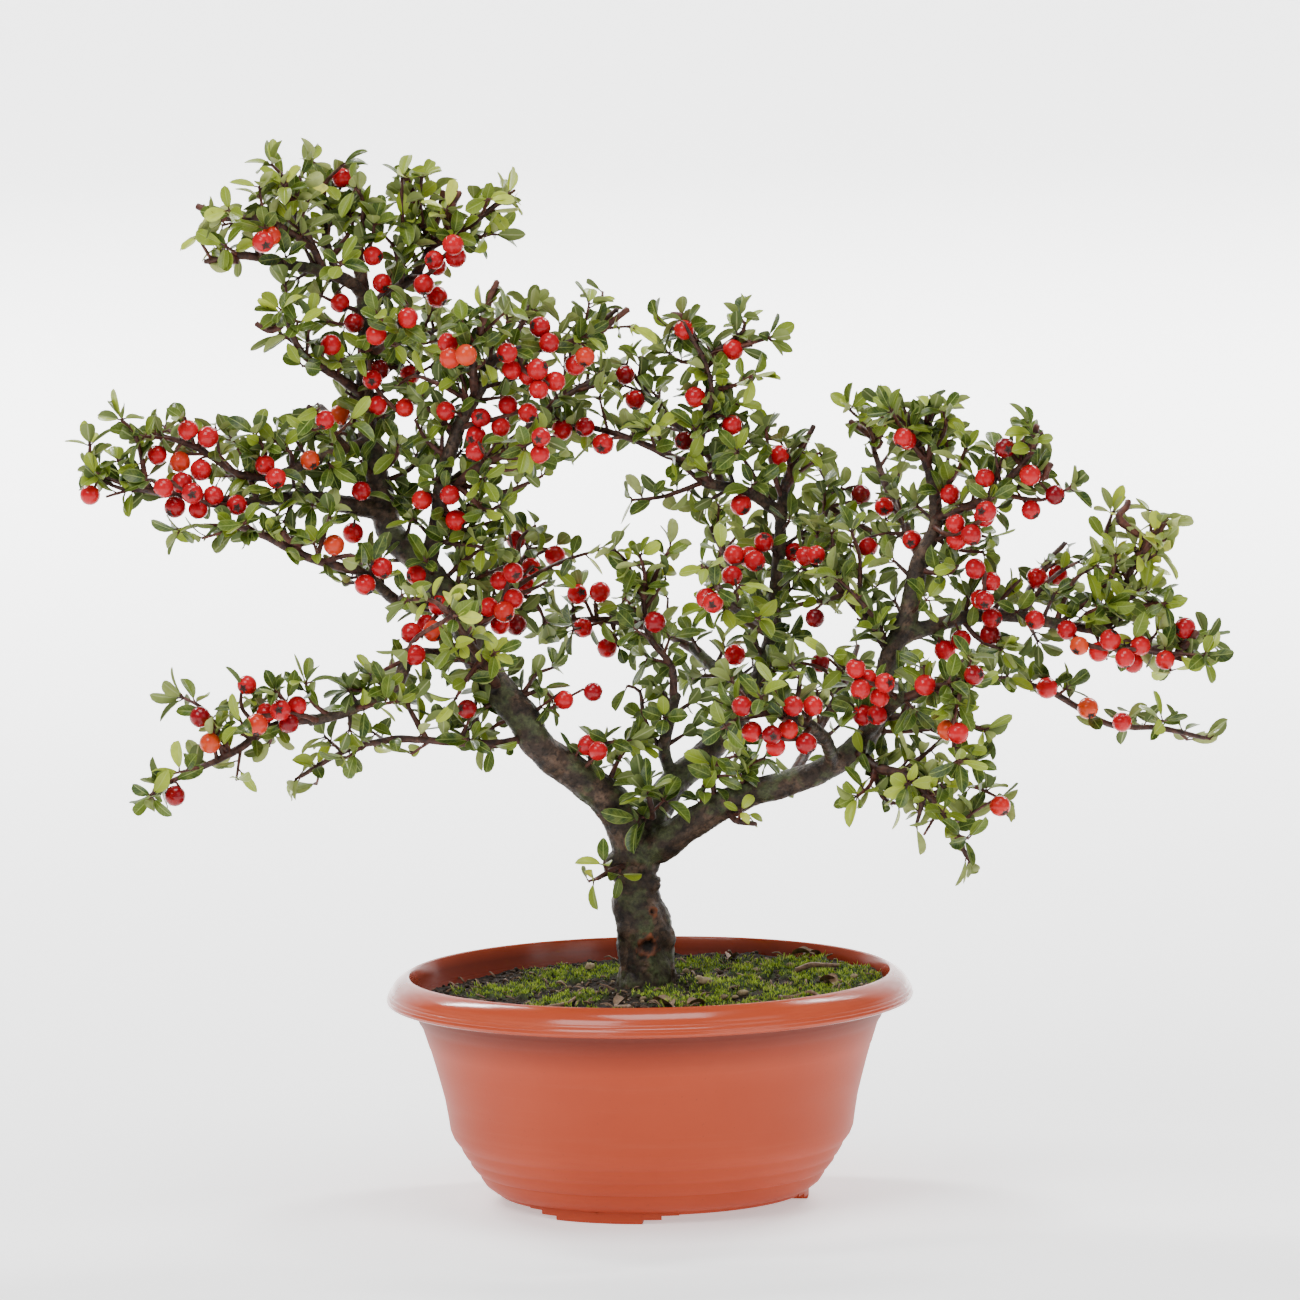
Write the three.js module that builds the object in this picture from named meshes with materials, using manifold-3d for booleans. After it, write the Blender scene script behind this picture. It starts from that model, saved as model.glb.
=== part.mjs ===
// Cotoneaster bonsai in a round terracotta-coloured plastic pot.
// Millimetres, +Z up, the pot's front towards -Y, its feet on z = 0.
import * as THREE from 'three';
import Module from 'manifold-3d';
import { mergeVertices } from 'three/addons/utils/BufferGeometryUtils.js';

const wasm = await Module();
wasm.setup();
const { Manifold } = wasm;

// Driving dimensions
const POT_RADIUS = 100;
const POT_HEIGHT = 87;
const POT_SEGMENTS = 32;
const SEAT_GAP = 0.3;
const LEAF_LENGTH = 11.5;
const LEAF_WIDTH = 6;
const LEAF_THICKNESS = 0.75;
const BERRY_RADIUS = 4.1;
const SHOOT_RADIUS = 1;
const SHOOT_ROOT_RADIUS = 0.6;
const STALK_RADII = [1.2, 1, 0.8];
// The middle of the whole tree, over which the pot stands off centre
const MIDDLE_X = 4;

// Sides of a limb that is at least so thick somewhere, of a spray's stem and of a berry stalk
const LIMB_SIDES = [[8.5, 9], [4, 7], [2.6, 5], [0, 4]];
const STEM_SIDES = 4;
const STALK_SIDES = 3;

// Side shoots: the part of a stem that carries them, how they lean, and which of them have leaves here
const SHOOT_START = 0.22;
const SHOOT_SPAN = 0.74;
const SHOOT_FORWARD = 0.7;
const SHOOT_UPWARD = 0.45;
const REACH_RANGE = [0.65, 1.15];
const SHOOT_STRIDE = 5;
const FIRST_SHOOT = 2;
const TIP_SINK = 1.5;
const TIP_REACH = 2;

// Leaves: half a blade's outline as shares of its length and half width, and how much leaves differ
const BLADE_OUTLINE = [[0.5, -1], [1, -0.36], [1, 0.36], [0.5, 1]];
const WHORL_LEAVES = 3;
const WHORL_TURNS = [0, 0.35, -0.35, 0.7, -0.7, 1.05];
const LIFT_RANGE = [0.2, 0.95];
const LENGTH_RANGE = [0.82, 1.14];
const WIDTH_RANGE = [0.85, 1.15];
const CLEARANCE = 0.35;

// Berries: the part of a stalk that carries them, how they lean and how deep they sit in it
const BERRY_START = 0.4;
const BERRY_FORWARD = 0.3;
const BERRY_SINK = 0.3;

// The seeded rule: its seed, and which draws each choice uses
const SEED = 4.71;
const DRAWS_PER_STEM = 20;
const TIP_DRAW = 19;
const STEM_TURN_DRAW = 99;
const WHORL_TURN_DRAW = 40;
const LIFT_DRAW = 50;
const LENGTH_DRAW = 60;
const WIDTH_DRAW = 70;
const BUNCH_TURN_DRAW = 500;

const GOLDEN_ANGLE = THREE.MathUtils.degToRad(137.5);
const TURN = 2 * Math.PI;
const UP = new THREE.Vector3(0, 0, 1);

// Pot: radius and height of the outside, from the foot ring up to the lip, then of the inside
const POT_OUTSIDE = [
  [0, 6], [55, 6], [55, 3.2], [58.6, 3.2], [58.6, 4.4], [59.6, 4.4],
  [65.6, 10.8], [66.8, 11.8], [69.4, 16], [70.6, 17.2], [72.8, 21.6], [74, 22.8],
  [76.8, 30], [80.2, 47], [84.6, 62], [89.4, 73.5], [93.4, 82.4],
];
const POT_LIP = [[98, 76.6], [99.6, 77], [POT_RADIUS, 79], [96.4, 84.6], [92.8, POT_HEIGHT]];
const POT_INSIDE = [
  [90.8, 85.6], [86.8, 72], [82.6, 62], [78.3, 47], [75, 31.5], [63.6, 10.6], [58, 8], [0, 8],
];

// Feet: the middle of each, seen from above, and half its span at the height where each step starts
const FOOT_MIDDLES = [-21, 99, 219];
const FOOT_STEPS = [[0, 17], [1.5, 24], [3, 30.5]];
const FOOT_CORNERS = [-30.5, -24, -17, -8.5, 0, 8.5, 17, 24, 30.5];
const FOOT_TOP = 7;
const FOOT_INNER = 52;
const FOOT_OUTER = 59.2;

// Soil: its mound, highest at the trunk and to the right
const SOIL_LEVEL = 79.3;
const SOIL_RISE = 3.4;
const SOIL_SPREAD = 32;
const SOIL_TILT = 3.5;
const SOIL_BUMPS = [0.5, 0.4];
const SOIL_RINGS = [1, 0.75, 0.5, 0.28, 0];
const SOIL_SEAT = 2 * SEAT_GAP;
const SOIL_EDGE = 0.5;

// Wood: points along each limb and the radius there, from its root outwards
const LIMBS = {
  trunk: [
    [-1, 0, 62, 11.2], [-1, 0, 82, 11.6], [-1, 0, 91, 10.6], [-2, 0, 105, 10.8], [-4, 0, 113, 9.6],
    [-5, 0, 122, 8.4], [-4, 0, 130, 9.2], [-4, 0, 138, 8.6],
  ],
  left: [
    [-4, 0, 132, 8], [-12, -3, 150, 7.4], [-21, -6, 159, 6.8], [-31, -8, 167, 6.5],
    [-40, -10, 175, 6.5], [-47, -10, 187, 6.4], [-55, -8, 196, 6.3], [-62, -4, 207, 6.3],
    [-68, 0, 222, 6.2], [-79, 4, 237, 5.6], [-87, 6, 246, 5.3], [-95, 8, 255, 5.4],
    [-98, 10, 267, 5.2], [-102, 12, 289, 4.4], [-104, 14, 305, 3.8], [-103, 16, 331, 3.2],
    [-105, 18, 355, 2.7],
  ],
  crown_left: [[-103, 17, 342, 2.6], [-108, 13, 349, 2.5], [-121, 5, 355, 2.3], [-136, -3, 358, 2]],
  crown_right: [[-104, 16, 334, 2.4], [-99, 18, 341, 2.3], [-93, 20, 345, 2.2], [-82, 24, 352, 2]],
  centre_top: [
    [-82, 5, 240, 3.4], [-77, 2, 260, 3.2], [-75, -2, 275, 3], [-68, -6, 296, 2.7],
    [-60, -8, 310, 2.5], [-56, -8, 320, 2.2], [-42, -4, 325, 1.9],
  ],
  far_left_upper: [
    [-102, 12, 289, 2.4], [-112, 4, 287, 2.2], [-121, -2, 284, 2], [-131, -8, 281, 1.8],
    [-141, -12, 277, 1.7],
  ],
  far_left: [
    [-97, 10, 262, 3.8], [-110, 2, 266, 3.6], [-128, -8, 270, 3], [-136, -12, 270, 2.3],
    [-150, -15, 269, 2],
  ],
  left_middle: [[-74, 2, 230, 2.6], [-91, -8, 230, 2.3], [-100, -16, 238, 2.2], [-109, -20, 245, 2]],
  lower_left: [
    [-64, -3, 209, 3.2], [-77, -12, 210, 2.9], [-88, -20, 210, 2.8], [-94, -26, 200, 2.6],
    [-112, -34, 192, 2.4], [-126, -38, 189, 2.1],
  ],
  middle: [
    [-3, 1, 136, 7], [4, 6, 148, 6.2], [10, 9, 157, 5.7], [17, 12, 163, 5.4], [26, 16, 171, 5],
    [34, 20, 179, 4.6], [42, 23, 191, 4], [46, 25, 202, 3.6], [49, 26, 212, 3.2], [50, 27, 226, 2.7],
    [52, 28, 244, 2.5], [53, 29, 259, 2.4], [55, 30, 270, 2],
  ],
  middle_left: [[53, 29, 257, 2.4], [41, 22, 266, 2.2], [32, 18, 269, 2.1], [23, 16, 271, 1.9]],
  centre_stem: [[11, 10, 157, 2.8], [7, 4, 170, 2.5], [9, 0, 182, 2.2], [12, -4, 193, 1.9]],
  centre_back: [[41, 22, 189, 2.8], [29, 44, 195, 2.5], [18, 60, 204, 2.1]],
  right: [
    [-2, 0, 132, 7.6], [7, -4, 137, 6.6], [23, -10, 148, 5.8], [38, -15, 156, 5.4], [53, -18, 160, 5],
    [68, -20, 166, 4.8], [81, -20, 175, 4.8], [87, -19, 186, 4.3], [92, -17, 206, 4],
    [99, -15, 222, 4], [102, -13, 233, 3.8], [104, -12, 243, 3.4], [110, -11, 255, 2.9],
    [110, -10, 267, 2.4], [108, -8, 277, 2],
  ],
  far_right: [
    [97, -16, 215, 3.2], [108, -14, 218, 3], [119, -13, 221, 2.8], [130, -12, 222, 2.8],
    [142, -12, 221, 2.6], [158, -14, 218, 2.2],
  ],
  right_front: [[82, -20, 178, 3.4], [89, -34, 188, 2.8], [97, -46, 196, 2.2]],
  front_low: [[71, -21, 167, 2.8], [67, -36, 179, 2.6], [60, -48, 187, 2.2]],
};

// Leafy sprays: points and radius along their stems, how many side shoots each stem has and their length
const SPRAYS = {
  crown_left_tip: {
    stems: [[[-133, -2, 358, 1.9], [-149, -10, 362, 1.6], [-162, -14, 360, 1]]],
    shoots: 6,
    reach: 12,
  },
  crown_left_rise: {
    stems: [
      [[-118, 7, 354, 1.7], [-125, 2, 370, 1.5], [-133, -2, 384, 1]],
      [[-122, 4, 363, 1.5], [-132, -6, 371, 1.4], [-142, -13, 376, 1.2], [-154, -18, 376, 0.9]],
    ],
    shoots: 5,
    reach: 12,
  },
  crown_back: {
    stems: [[[-113, 10, 352, 1.8], [-118, 22, 368, 1.5], [-114, 30, 386, 1]]],
    shoots: 6,
    reach: 13,
  },
  crown_right: {
    stems: [
      [[-84, 23, 351, 1.9], [-78, 26, 364, 1.6], [-85, 28, 378, 1.2]],
      [[-79, 25, 361, 1.5], [-66, 18, 368, 1.4], [-50, 12, 380, 1]],
    ],
    shoots: 5,
    reach: 12,
  },
  upper_left: {
    stems: [[[-103, 14, 305, 2], [-113, 4, 314, 1.8], [-126, -8, 324, 1.5], [-133, -16, 340, 1]]],
    shoots: 8,
    reach: 14,
  },
  upper_front: {
    stems: [[[-103, 15, 322, 2], [-97, -2, 326, 1.7], [-90, -16, 334, 1.1]]],
    shoots: 6,
    reach: 13,
  },
  upper_back: {
    stems: [[[-103, 15, 314, 2], [-95, 34, 320, 1.7], [-84, 52, 324, 1.4], [-76, 62, 328, 1]]],
    shoots: 7,
    reach: 14,
  },
  top_centre: {
    stems: [[[-44, -5, 325, 1.8], [-29, 0, 325, 1.6], [-19, 4, 330, 1.3], [-8, 6, 338, 0.9]]],
    shoots: 7,
    reach: 13,
  },
  top_spur: {
    stems: [[[-62, -8, 307, 1.9], [-62, -17, 320, 1.6], [-58, -21, 340, 1]]],
    shoots: 6,
    reach: 12,
  },
  top_right: {
    stems: [
      [
        [-76, -1, 271, 2.2], [-62, 8, 280, 2], [-46, 18, 290, 1.7], [-30, 28, 302, 1.4],
        [-16, 36, 310, 1],
      ],
    ],
    shoots: 10,
    reach: 15,
  },
  top_back: {
    stems: [[[-58, -8, 314, 1.9], [-50, 14, 322, 1.6], [-42, 34, 336, 1]]],
    shoots: 7,
    reach: 14,
  },
  centre_front: {
    stems: [[[-76, -1, 268, 1.9], [-63, -16, 280, 1.7], [-51, -28, 287, 1.4], [-38, -36, 294, 1]]],
    shoots: 7,
    reach: 13,
  },
  far_left_up: {
    stems: [[[-138, -11, 278, 1.6], [-151, -14, 280, 1.5], [-166, -14, 290, 1.3], [-180, -14, 295, 1]]],
    shoots: 7,
    reach: 13,
  },
  far_left_tip: {
    stems: [[[-147, -14, 269, 1.9], [-165, -17, 272, 1.7], [-185, -18, 275, 1.5], [-203, -18, 281, 1]]],
    shoots: 8,
    reach: 13,
  },
  left_back_up: {
    stems: [[[-102, 12, 286, 2], [-112, 30, 292, 1.6], [-122, 44, 300, 1]]],
    shoots: 7,
    reach: 14,
  },
  left_front_up: {
    stems: [[[-111, 4, 287, 1.8], [-118, -14, 298, 1.5], [-124, -24, 306, 1]]],
    shoots: 7,
    reach: 13,
  },
  left_middle_tip: {
    stems: [[[-106, -19, 243, 1.9], [-125, -24, 249, 1.7], [-142, -26, 258, 1.4], [-153, -26, 262, 1]]],
    shoots: 8,
    reach: 13,
  },
  lower_left_tip: {
    stems: [[[-123, -37, 190, 1.9], [-138, -40, 188, 1.8], [-155, -42, 178, 1.5], [-177, -42, 168, 1]]],
    shoots: 9,
    reach: 14,
  },
  lower_left_thin: {
    stems: [
      [
        [-44, -10, 178, 1.7], [-58, -19, 177, 1.6], [-76, -24, 179, 1.5], [-94, -24, 180, 1.4],
        [-112, -22, 176, 1.2], [-130, -20, 166, 0.9],
      ],
    ],
    shoots: 8,
    reach: 11,
  },
  left_back: {
    stems: [[[-66, -2, 215, 2.4], [-57, 20, 223, 2], [-51, 40, 229, 1.7], [-44, 58, 242, 1]]],
    shoots: 7,
    reach: 14,
  },
  left_front: {
    stems: [[[-55, -8, 196, 2.2], [-59, -26, 207, 1.9], [-66, -40, 219, 1.6], [-72, -52, 231, 1]]],
    shoots: 7,
    reach: 14,
  },
  middle_top: {
    stems: [[[54, 29, 266, 2], [58, 32, 276, 1.6], [66, 36, 290, 1]]],
    shoots: 8,
    reach: 14,
  },
  middle_high: {
    stems: [
      [
        [25, 16, 270, 1.8], [22, 17, 282, 1.6], [26, 20, 302, 1.4], [24, 22, 320, 1.2],
        [17, 22, 333, 0.9],
      ],
      [
        [23, 17, 277, 1.5], [12, 13, 281, 1.5], [-3, 14, 288, 1.3], [-20, 24, 292, 1.1],
        [-30, 32, 290, 0.9],
      ],
    ],
    shoots: 8,
    reach: 13,
  },
  arch_rise: {
    stems: [[[31, 18, 269, 1.6], [24, 32, 282, 1.5], [8, 42, 296, 1.3], [-4, 46, 312, 0.9]]],
    shoots: 7,
    reach: 13,
  },
  middle_back: {
    stems: [[[50, 27, 218, 2.4], [42, 48, 226, 2.1], [33, 66, 236, 1.6], [27, 80, 246, 1]]],
    shoots: 9,
    reach: 15,
  },
  middle_front: {
    stems: [
      [
        [49, 26, 212, 2.4], [42, 8, 217, 2.1], [34, -10, 226, 1.8], [28, -26, 236, 1.4],
        [24, -38, 244, 1],
      ],
    ],
    shoots: 9,
    reach: 14,
  },
  middle_right: {
    stems: [[[51, 28, 235, 2.2], [61, 42, 243, 1.8], [69, 54, 253, 1.5], [76, 64, 262, 1]]],
    shoots: 7,
    reach: 14,
  },
  centre_stem: {
    stems: [[[11, -3, 191, 1.8], [10, -6, 204, 1.5], [2, -12, 216, 1.3], [0, -14, 230, 0.9]]],
    shoots: 8,
    reach: 13,
  },
  centre_back: {
    stems: [[[20, 58, 202, 2.1], [6, 68, 209, 1.8], [-12, 78, 212, 1.5], [-30, 84, 212, 1]]],
    shoots: 7,
    reach: 14,
  },
  right_top: {
    stems: [[[109, -8, 274, 2], [105, -6, 286, 1.6], [100, -4, 298, 1]]],
    shoots: 8,
    reach: 14,
  },
  right_diagonal: {
    stems: [[[94, -17, 206, 2.2], [86, -6, 218, 1.9], [74, 6, 231, 1.6], [62, 14, 242, 1]]],
    shoots: 7,
    reach: 12,
  },
  right_upper: {
    stems: [
      [
        [110, -11, 259, 2.2], [120, -18, 263, 2], [130, -25, 268, 1.7], [142, -30, 280, 1.3],
        [150, -32, 292, 0.9],
      ],
    ],
    shoots: 9,
    reach: 14,
  },
  right_back: {
    stems: [[[104, -12, 245, 2.2], [100, 12, 253, 1.9], [94, 34, 264, 1.6], [88, 54, 282, 1]]],
    shoots: 9,
    reach: 14,
  },
  far_right_up: {
    stems: [[[142, -12, 221, 2], [146, -2, 230, 1.7], [152, 8, 238, 1.4], [160, 14, 246, 0.9]]],
    shoots: 7,
    reach: 12,
  },
  far_right_tip: {
    stems: [
      [[155, -14, 218, 2.1], [168, -15, 216, 1.9], [184, -17, 210, 1.6], [205, -20, 204, 1]],
      [[173, -15, 214, 1.6], [180, -12, 228, 1.5], [186, -13, 244, 1.3], [196, -14, 257, 0.9]],
    ],
    shoots: 8,
    reach: 12,
  },
  long_low: {
    stems: [
      [
        [90, -17, 198, 2], [101, 2, 193, 1.8], [116, 14, 195, 1.6], [132, 22, 194, 1.4],
        [154, 26, 188, 1.3], [176, 28, 175, 1.2], [196, 28, 173, 1.1], [213, 28, 169, 0.9],
      ],
    ],
    shoots: 9,
    reach: 7,
  },
  right_front: {
    stems: [[[95, -43, 194, 2.1], [108, -56, 200, 1.7], [120, -64, 201, 1]]],
    shoots: 7,
    reach: 13,
  },
  droop: {
    stems: [
      [
        [79, -20, 173, 2.4], [86, -36, 168, 2.1], [97, -46, 166, 1.7], [106, -51, 158, 1.4],
        [114, -52, 146, 1.2], [119, -52, 136, 0.9],
      ],
    ],
    shoots: 9,
    reach: 10,
  },
  front_low: {
    stems: [[[61, -46, 186, 2.1], [50, -57, 191, 1.8], [36, -64, 194, 1]]],
    shoots: 7,
    reach: 14,
  },
  right_behind: {
    stems: [
      [[54, -17, 160, 2.4], [61, 4, 170, 2.1], [70, 26, 182, 1.8], [77, 44, 192, 1.5], [82, 58, 203, 1]],
    ],
    shoots: 7,
    reach: 14,
  },
  trunk_sucker: {
    stems: [[[-4, 0, 129, 1.4], [-14, -12, 127, 1.2], [-19, -17, 125, 0.9]]],
    shoots: 3,
    reach: 6,
  },
  front_shoot: {
    stems: [[[1, 4, 147, 1.8], [2, -13, 148, 1.5], [1, -19, 156, 1]]],
    shoots: 3,
    reach: 7,
  },
  low_sprig: {
    stems: [[[30, -12, 152, 1.5], [33, -21, 147, 1.3], [41, -27, 146, 0.9]]],
    shoots: 3,
    reach: 6,
  },
};

// Berry bunches: points along the stalk of each and how many berries it carries
const BUNCHES = {
  far_left: { stalk: [[-149, -15, 269], [-162, -26, 270], [-176, -28, 279]], berries: 5 },
  crown_right: { stalk: [[-86, 22, 350], [-79, 12, 352], [-72, 8, 360]], berries: 4 },
  upper: { stalk: [[-103, 16, 330], [-100, 2, 312], [-92, -2, 302]], berries: 4 },
  top: { stalk: [[-44, -5, 324], [-44, -15, 318], [-34, -17, 312]], berries: 5 },
  centre_top: { stalk: [[-68, -6, 296], [-58, -12, 298], [-44, -10, 302]], berries: 4 },
  inner: { stalk: [[-67, -1, 218], [-55, -8, 226], [-50, -8, 240]], berries: 5 },
  left_low: { stalk: [[-73, 1, 229], [-79, -13, 224], [-84, -20, 218]], berries: 4 },
  lower_left: { stalk: [[-122, -37, 189], [-130, -48, 193], [-144, -52, 193]], berries: 5 },
  middle: { stalk: [[52, 28, 246], [43, 14, 244], [34, 6, 240]], berries: 5 },
  front_low: { stalk: [[62, -45, 185], [56, -58, 182], [42, -66, 184]], berries: 5 },
  right_front: { stalk: [[95, -42, 194], [88, -52, 200], [78, -56, 204]], berries: 5 },
  right_upper: { stalk: [[109, -11, 256], [116, -26, 254], [130, -36, 262]], berries: 5 },
  far_right: { stalk: [[131, -12, 222], [128, -24, 228], [128, -26, 240]], berries: 4 },
  far_tip: { stalk: [[156, -14, 218], [168, -26, 211], [184, -30, 210]], berries: 5 },
};

function draw(first, second) {
  const value = Math.sin(first * 12.9898 + second * 78.233 + SEED) * 43758.5453;
  return value - Math.floor(value);
}

function between([low, high], first, second) {
  return low + (high - low) * draw(first, second);
}

function vector([x, y, z]) {
  return new THREE.Vector3(x, y, z);
}

// A direction square to an axis, turned round it
function sideways(axis, turn) {
  const reference = Math.abs(axis.z) > 0.9 ? new THREE.Vector3(0, 1, 0) : UP;
  const level = new THREE.Vector3().crossVectors(axis, reference).normalize();
  const rise = new THREE.Vector3().crossVectors(axis, level);
  return level.multiplyScalar(Math.cos(turn)).addScaledVector(rise, Math.sin(turn));
}

// Solids and meshes

function solidOf(geometry) {
  const bare = geometry.clone();
  bare.deleteAttribute('normal');
  bare.deleteAttribute('uv');
  const merged = mergeVertices(bare, 1e-4);
  return new Manifold(new wasm.Mesh({
    numProp: 3,
    vertProperties: new Float32Array(merged.attributes.position.array),
    triVerts: new Uint32Array(merged.index.array),
  }));
}

function geometryOf(solid) {
  const mesh = solid.getMesh();
  const geometry = new THREE.BufferGeometry();
  geometry.setAttribute('position', new THREE.BufferAttribute(mesh.vertProperties, 3));
  geometry.setIndex(new THREE.BufferAttribute(mesh.triVerts, 1));
  geometry.computeVertexNormals();
  return geometry;
}

function largestBody(solid) {
  const bodies = solid.decompose();
  return bodies.reduce((best, body) => (body.volume() > best.volume() ? body : best));
}

function named(name, solid, material) {
  const mesh = new THREE.Mesh(geometryOf(solid), material);
  mesh.name = name;
  return mesh;
}

// Pot and soil

function turned(profile) {
  const points = [...profile, profile[0]].map(([radius, height]) => new THREE.Vector2(radius, height));
  return new THREE.LatheGeometry(points, POT_SEGMENTS).rotateX(Math.PI / 2);
}

function footSolid(middle, bottom, halfSpan) {
  const corners = FOOT_CORNERS.filter((corner) => Math.abs(corner) <= halfSpan);
  const turns = corners.map((corner) => THREE.MathUtils.degToRad(middle + corner - 90));
  const arc = (radius) => turns.map((turn) => {
    return new THREE.Vector2(radius * Math.cos(turn), radius * Math.sin(turn));
  });
  const outline = new THREE.Shape([...arc(FOOT_OUTER), ...arc(FOOT_INNER).reverse()]);
  const geometry = new THREE.ExtrudeGeometry(outline, { depth: FOOT_TOP - bottom, bevelEnabled: false });
  return solidOf(geometry.translate(0, 0, bottom));
}

function potSolid() {
  let pot = solidOf(turned([...POT_OUTSIDE, ...POT_LIP, ...POT_INSIDE]));
  for (const middle of FOOT_MIDDLES) {
    for (const [bottom, halfSpan] of FOOT_STEPS) {
      pot = pot.add(footSolid(middle, bottom, halfSpan));
    }
  }
  return pot;
}

function mound(x, y) {
  const nearTrunk = Math.exp(-(x * x + y * y) / SOIL_SPREAD ** 2);
  const [small, broad] = SOIL_BUMPS;
  const bumps = small * Math.sin(x / 9 + 1) * Math.cos(y / 8) + broad * Math.sin((x + y) / 13);
  return SOIL_LEVEL + SOIL_RISE * nearTrunk + SOIL_TILT * x / POT_RADIUS + bumps;
}

function insideRadius(height) {
  const upper = POT_INSIDE.findIndex(([, level], i) => level >= height && POT_INSIDE[i + 1][1] <= height);
  const [[topRadius, top], [lowRadius, low]] = POT_INSIDE.slice(upper, upper + 2);
  return THREE.MathUtils.mapLinear(height, low, top, lowRadius, topRadius);
}

// The soil is turned with a flat top, whose rings are then spread to the wall and raised to the mound
function soilGeometry() {
  const [, ...wall] = POT_INSIDE;
  const sides = wall.reverse().map(([radius, height]) => {
    return [Math.max(radius - SOIL_SEAT, 0), height + SOIL_SEAT];
  });
  const rings = SOIL_RINGS.map((share) => [share, SOIL_LEVEL]);
  const geometry = turned([...sides, ...rings]);
  const position = geometry.attributes.position;
  for (let i = 0; i < position.count; i += 1) {
    if (Math.abs(position.getZ(i) - SOIL_LEVEL) > 1e-3) continue;
    const share = Math.hypot(position.getX(i), position.getY(i));
    const angle = Math.atan2(position.getY(i), position.getX(i));
    const edge = insideRadius(SOIL_LEVEL + SOIL_TILT * Math.cos(angle)) - SOIL_SEAT - SOIL_EDGE;
    const x = share * edge * Math.cos(angle);
    const y = share * edge * Math.sin(angle);
    position.setXYZ(i, x, y, mound(x, y));
  }
  return geometry;
}

// Limbs and stems

function limbCurve(route) {
  return new THREE.CatmullRomCurve3(route.map(vector), false, 'catmullrom', 0.5);
}

// The stretch of a route that holds the share t of its points, and how far along the stretch that is
function stretchAt(route, t) {
  const place = Math.min(t * (route.length - 1), route.length - 1.0001);
  const index = Math.floor(place);
  return { from: route[index], to: route[index + 1], share: place - index };
}

// A ring at each point of the route, grown by a gap where a neighbour is cut to clear it
function limbSolid(route, sides, grow = 0) {
  const curve = limbCurve(route);
  const steps = route.length - 1;
  const ends = new Map([[0, -grow], [steps, grow]]);
  let normal = sideways(curve.getTangent(0), 0);
  const rings = route.map((point, i) => {
    const tangent = curve.getTangent(i / steps);
    normal = normal.clone().addScaledVector(tangent, -normal.dot(tangent)).normalize();
    const centre = vector(point).addScaledVector(tangent, ends.get(i) ?? 0);
    const across = new THREE.Vector3().crossVectors(normal, tangent);
    return { centre, normal, across, radius: point[3] + grow };
  });
  const geometry = new THREE.CylinderGeometry(1, 1, 1, sides, steps);
  const position = geometry.attributes.position;
  for (let i = 0; i < position.count; i += 1) {
    const ring = rings[Math.round((position.getY(i) + 0.5) * steps)];
    const point = ring.centre.clone().addScaledVector(ring.normal, position.getX(i) * ring.radius);
    point.addScaledVector(ring.across, position.getZ(i) * ring.radius);
    position.setXYZ(i, point.x, point.y, point.z);
  }
  return solidOf(geometry);
}

function limbPieces(route) {
  const thickest = Math.max(...route.map((point) => point[3]));
  const sides = LIMB_SIDES.find(([radius]) => thickest >= radius)[1];
  return { solid: limbSolid(route, sides), grown: limbSolid(route, sides, SEAT_GAP) };
}

// Shoots with their leaves

function closedSolid(corners, faces) {
  const geometry = new THREE.BufferGeometry();
  const numbers = corners.flatMap((corner) => corner.toArray());
  geometry.setAttribute('position', new THREE.Float32BufferAttribute(numbers, 3));
  geometry.setIndex(faces);
  return solidOf(geometry);
}

// A leaf's own directions: out of the shoot, across the blade, along it, and down through it
function leafDirections(aim, { turn, lift }) {
  const out = sideways(aim, turn);
  const across = new THREE.Vector3().crossVectors(aim, out);
  const along = out.multiplyScalar(Math.cos(lift)).addScaledVector(aim, Math.sin(lift));
  return { across, along, down: new THREE.Vector3().crossVectors(across, along) };
}

// The two faces and the edge of one blade, between its own notch corner and the next leaf's
function bladeFaces(leaf, count) {
  const size = BLADE_OUTLINE.length + 1;
  const below = count * size;
  const [notch, wide, end, endFar, wideFar] = [0, 1, 2, 3, 4].map((step) => leaf * size + step);
  const next = ((leaf + 1) % count) * size;
  const faces = [];
  const blade = [
    [notch, wide, wideFar], [notch, wideFar, next], [wide, end, endFar], [wide, endFar, wideFar],
  ];
  for (const [p, q, r] of blade) {
    faces.push(p, q, r, p + below, r + below, q + below);
  }
  for (const [p, q] of [[notch, wide], [wide, end], [end, endFar], [endFar, wideFar], [wideFar, next]]) {
    faces.push(p, p + below, q + below, p, q + below, q);
  }
  const [foot, nextFoot] = [2 * below + leaf, 2 * below + (leaf + 1) % count];
  faces.push(notch + below, foot, nextFoot, notch + below, nextFoot, next + below);
  return faces;
}

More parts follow.
